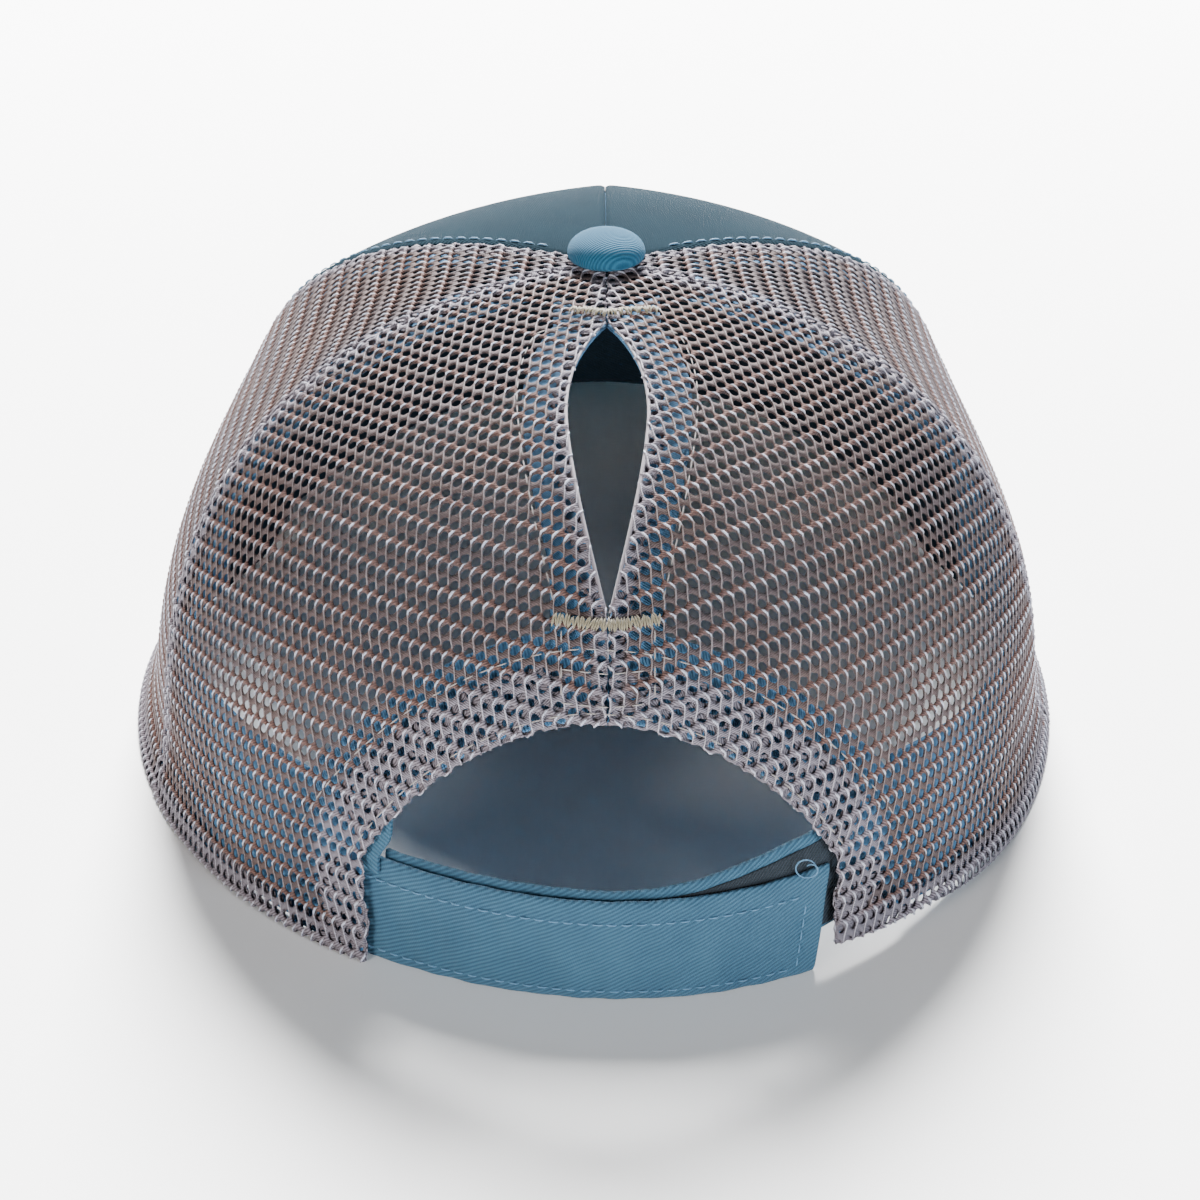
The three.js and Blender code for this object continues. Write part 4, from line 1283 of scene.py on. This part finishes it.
# The upper tack runs straight across the crown's top, and the lower one is level
x = np.linspace(4.6, -12.7, 40) - SEAM_X
z = height_at_radius(np.hypot(x, UPPER_TACK_BEHIND))
bar_tack("upper_bar_tack", *on_crown(np.degrees(np.arctan2(x, UPPER_TACK_BEHIND)), z, -0.35), 3)
x, z = np.linspace(6.6, -11.1, 40), np.full(40, LOWER_TACK_HEIGHT)
bar_tack("lower_bar_tack", *on_crown(angle_at_x(x, z), z, -0.35), 5)
for number, z in enumerate((57.4, 52.8)):
    sew_back(f"box_stitches_{number}", np.linspace(*BOX_SIDES, 40), np.full(40, z), 0.9, 0.12)
for number, x in enumerate(BOX_SIDES):
    sew_back(f"box_side_stitches_{number}", np.full(20, x), np.linspace(62.5, 51.5, 20), 0.9, 0.12)
z = np.linspace(66, SLIT_TOP, 70)
for number, side in enumerate((1, -1)):
    x = SEAM_X + side * (slit_half(z) + 8.6 * smooth(SLIT_TOP - z, -0.2, 1.2))
    sew_back(f"slit_stitches_{number}", x, z, 1.1, 0.1)

# %% [markdown]
# ## Strap stitches
#
# The outer strap is sewn along both long edges and across its free end, with the same blue thread.

# %% Strap stitches
ALONG = np.linspace(0.03, 0.955, 120)
STITCH_LINES = (0.105, 0.79)


def strap_line(along, up):
    """Points on the strap's face and their outward directions, level with the floor."""
    points = strap_face(along, up, bulge(up) - 0.05)
    tangent = unit(np.gradient(points, axis=0))
    return points, unit(np.cross(tangent, [0, 0, 1.0]) * [1, 1, 0])


for number, up in enumerate(STITCH_LINES):
    line, normal = strap_line(ALONG, np.full(len(ALONG), up))
    normal = normal * np.sign(normal[:, 1:2])
    stitch_row(f"strap_stitches_{number}", line, normal, BLUE_THREAD, 2.0, 0.45, 0.15)
up = np.linspace(*STITCH_LINES, 20)
points = strap_face(np.full(20, ALONG[-1]), up, bulge(up) - 0.05)
normal = np.broadcast_to([-0.35, 0.94, 0.0], points.shape)
stitch_row("strap_end_stitches", points, normal, BLUE_THREAD, 2.0, 0.45, 0.15)
print("strap stitch lines at", np.round(np.array(STITCH_LINES) * STRAP_WIDTH, 1), "mm")

# %% [markdown]
# ## Loose thread, slit edges and tape end
#
# A few small things make sewn work look real. The strap's last stitch ends in a curl of thread, each edge of
# the slit has a thin cord in its fold, and a short end of the blue tape shows beside the strap. The threads
# are a ring carried along a path.

# %% Loose thread, slit edges and tape end
THREAD_SIDES = 6


def thread_tube(name, path, radius, material):
    """A ring carried along a path: each point is the path's plus radius times a turned pair of directions."""
    tangent = unit(np.gradient(path, axis=0))
    side = unit(np.cross(tangent, [0.3, 0.9, 0.25]))
    up = np.cross(side, tangent)
    turn = np.linspace(0, 2 * np.pi, THREAD_SIDES + 1)[:-1, None]
    ring = side[:, None] * np.cos(turn) + up[:, None] * np.sin(turn)
    taper = np.sin(np.linspace(0.03, np.pi - 0.03, len(path))) ** 0.2
    points = path[:, None] + ring * (radius * taper)[:, None, None]
    place = np.broadcast_to(lengths(path)[:, None], points.shape[:2])
    flat = np.stack([place, np.broadcast_to(turn[:, 0], points.shape[:2])], -1)
    quads = grid_quads(len(path), THREAD_SIDES, wrap=True)[:, ::-1]
    return make_mesh(name, points.reshape(-1, 3), quads, flat.reshape(-1, 2), material)


share = np.linspace(0, 1, 60)
wind = share * 2 * np.pi * 1.35
size = 2.1 - 0.9 * share
corner = strap_face(np.array([0.96]), np.array([1.0]), 0.0)[0]
x, z = 1.6 - size * np.cos(wind) - 1.2 * share, 1.0 + size * np.sin(wind)
path = corner + np.stack([x, 0.9 + 0.5 * share, z], -1)
thread_tube("strap_loose_thread", path, 0.13, BLUE_THREAD)
print("loose thread", round(float(lengths(path)[-1]), 1), "mm")

EDGE_THREAD = thread_material("edge_thread", shade(142, 135, 142), shade(104, 97, 104))
for side, label in ((1, "left"), (-1, "right")):
    z = np.linspace(SLIT_FROM + 0.4, SLIT_TOP - 0.05, 400)
    x = SEAM_X + side * (slit_half(z) + 0.18)
    path = skin(angle_at_x(x, z, 0.75), z, 0.75)
    thread_tube("slit_edge_" + label, path, 0.38, EDGE_THREAD)

rim_x, rim_z = arch_point(np.linspace(0.001, 0.3, 60), -0.2)
z = np.linspace(17, 30, 14)[:, None]
x = np.interp(z, rim_z, rim_x) + 0.6 - 3.2 * np.linspace(0, 1, 5)[None] * (1 - smooth(z, 23, 30.5))
points = skin(angle_at_x(x, z + 0 * x, 1.9), z + 0 * x, 1.9 + 0 * x)
flat = np.stack([x, z + 0 * x], -1)
cloth("tape_end", points, flat, TAPE_THICKNESS, STRAP_TWILL, (), backwards)

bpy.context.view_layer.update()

# %% [markdown]
# ## Floor and lights
#
# The floor is matt and nearly white, and painted a little brighter further away, a painted light in place of
# stronger light on the far floor. A strong light from the cap's front whitens it and leaves the cap's inside
# dark. Two low lights on the camera's side, warm on the left and cool on the right, model the knit.

# %% Floor and lights
FLOOR_NEAR, FLOOR_FAR = (0.92, 0.92, 0.92, 1), (0.97, 0.97, 0.97, 1)
ROOM_LIGHT = 0.08
CAP_MIDDLE = (0, 0.03, 0.06)

bpy.ops.mesh.primitive_plane_add(size=6.0, location=(0, 0, 0))
floor = bpy.context.object
floor.name = "floor"
floor_shader = Shader("pale_floor")
position = floor_shader.node("ShaderNodeTexCoord", None, None, "Object")
depth_split = floor_shader.node("ShaderNodeSeparateXYZ", None, {0: position}, 1)
# Painted light: the floor's colour grows brighter further away.
far = (depth_split * -1).ramp(-0.1, 0.35)
floor_color = floor_shader.mix(far, FLOOR_NEAR, FLOOR_FAR)
floor_shader.put(floor_shader.surface, "Base Color", floor_color)
floor_shader.put(floor_shader.surface, "Roughness", 0.9)
floor.data.materials.append(floor_shader.material)


def area_light(name, place, target, size, power, color):
    data = bpy.data.lights.new(name, "AREA")
    data.shape = "DISK"
    data.size = size
    data.energy = power
    data.color = color
    light = bpy.data.objects.new(name, data)
    light.location = place
    light.rotation_euler = (Vector(target) - Vector(place)).to_track_quat("-Z", "Y").to_euler()
    bpy.context.collection.objects.link(light)


area_light("key", (1.25, 1.45, 0.36), CAP_MIDDLE, 0.6, 41, (1.0, 0.95, 0.9))
area_light("cool_fill", (-1.3, 1.4, 0.36), CAP_MIDDLE, 0.6, 42, (0.84, 0.92, 1.0))
area_light("from_front", (0, -1.8, 1.55), (0, -0.1, 0.0), 1.0, 640, (1.0, 1.0, 1.0))
world = bpy.data.worlds.new("soft_room")
bpy.context.scene.world = world
world.use_nodes = True
background = world.node_tree.nodes["Background"]
background.inputs["Color"].default_value = (1.0, 1.0, 1.0, 1)
background.inputs["Strength"].default_value = ROOM_LIGHT
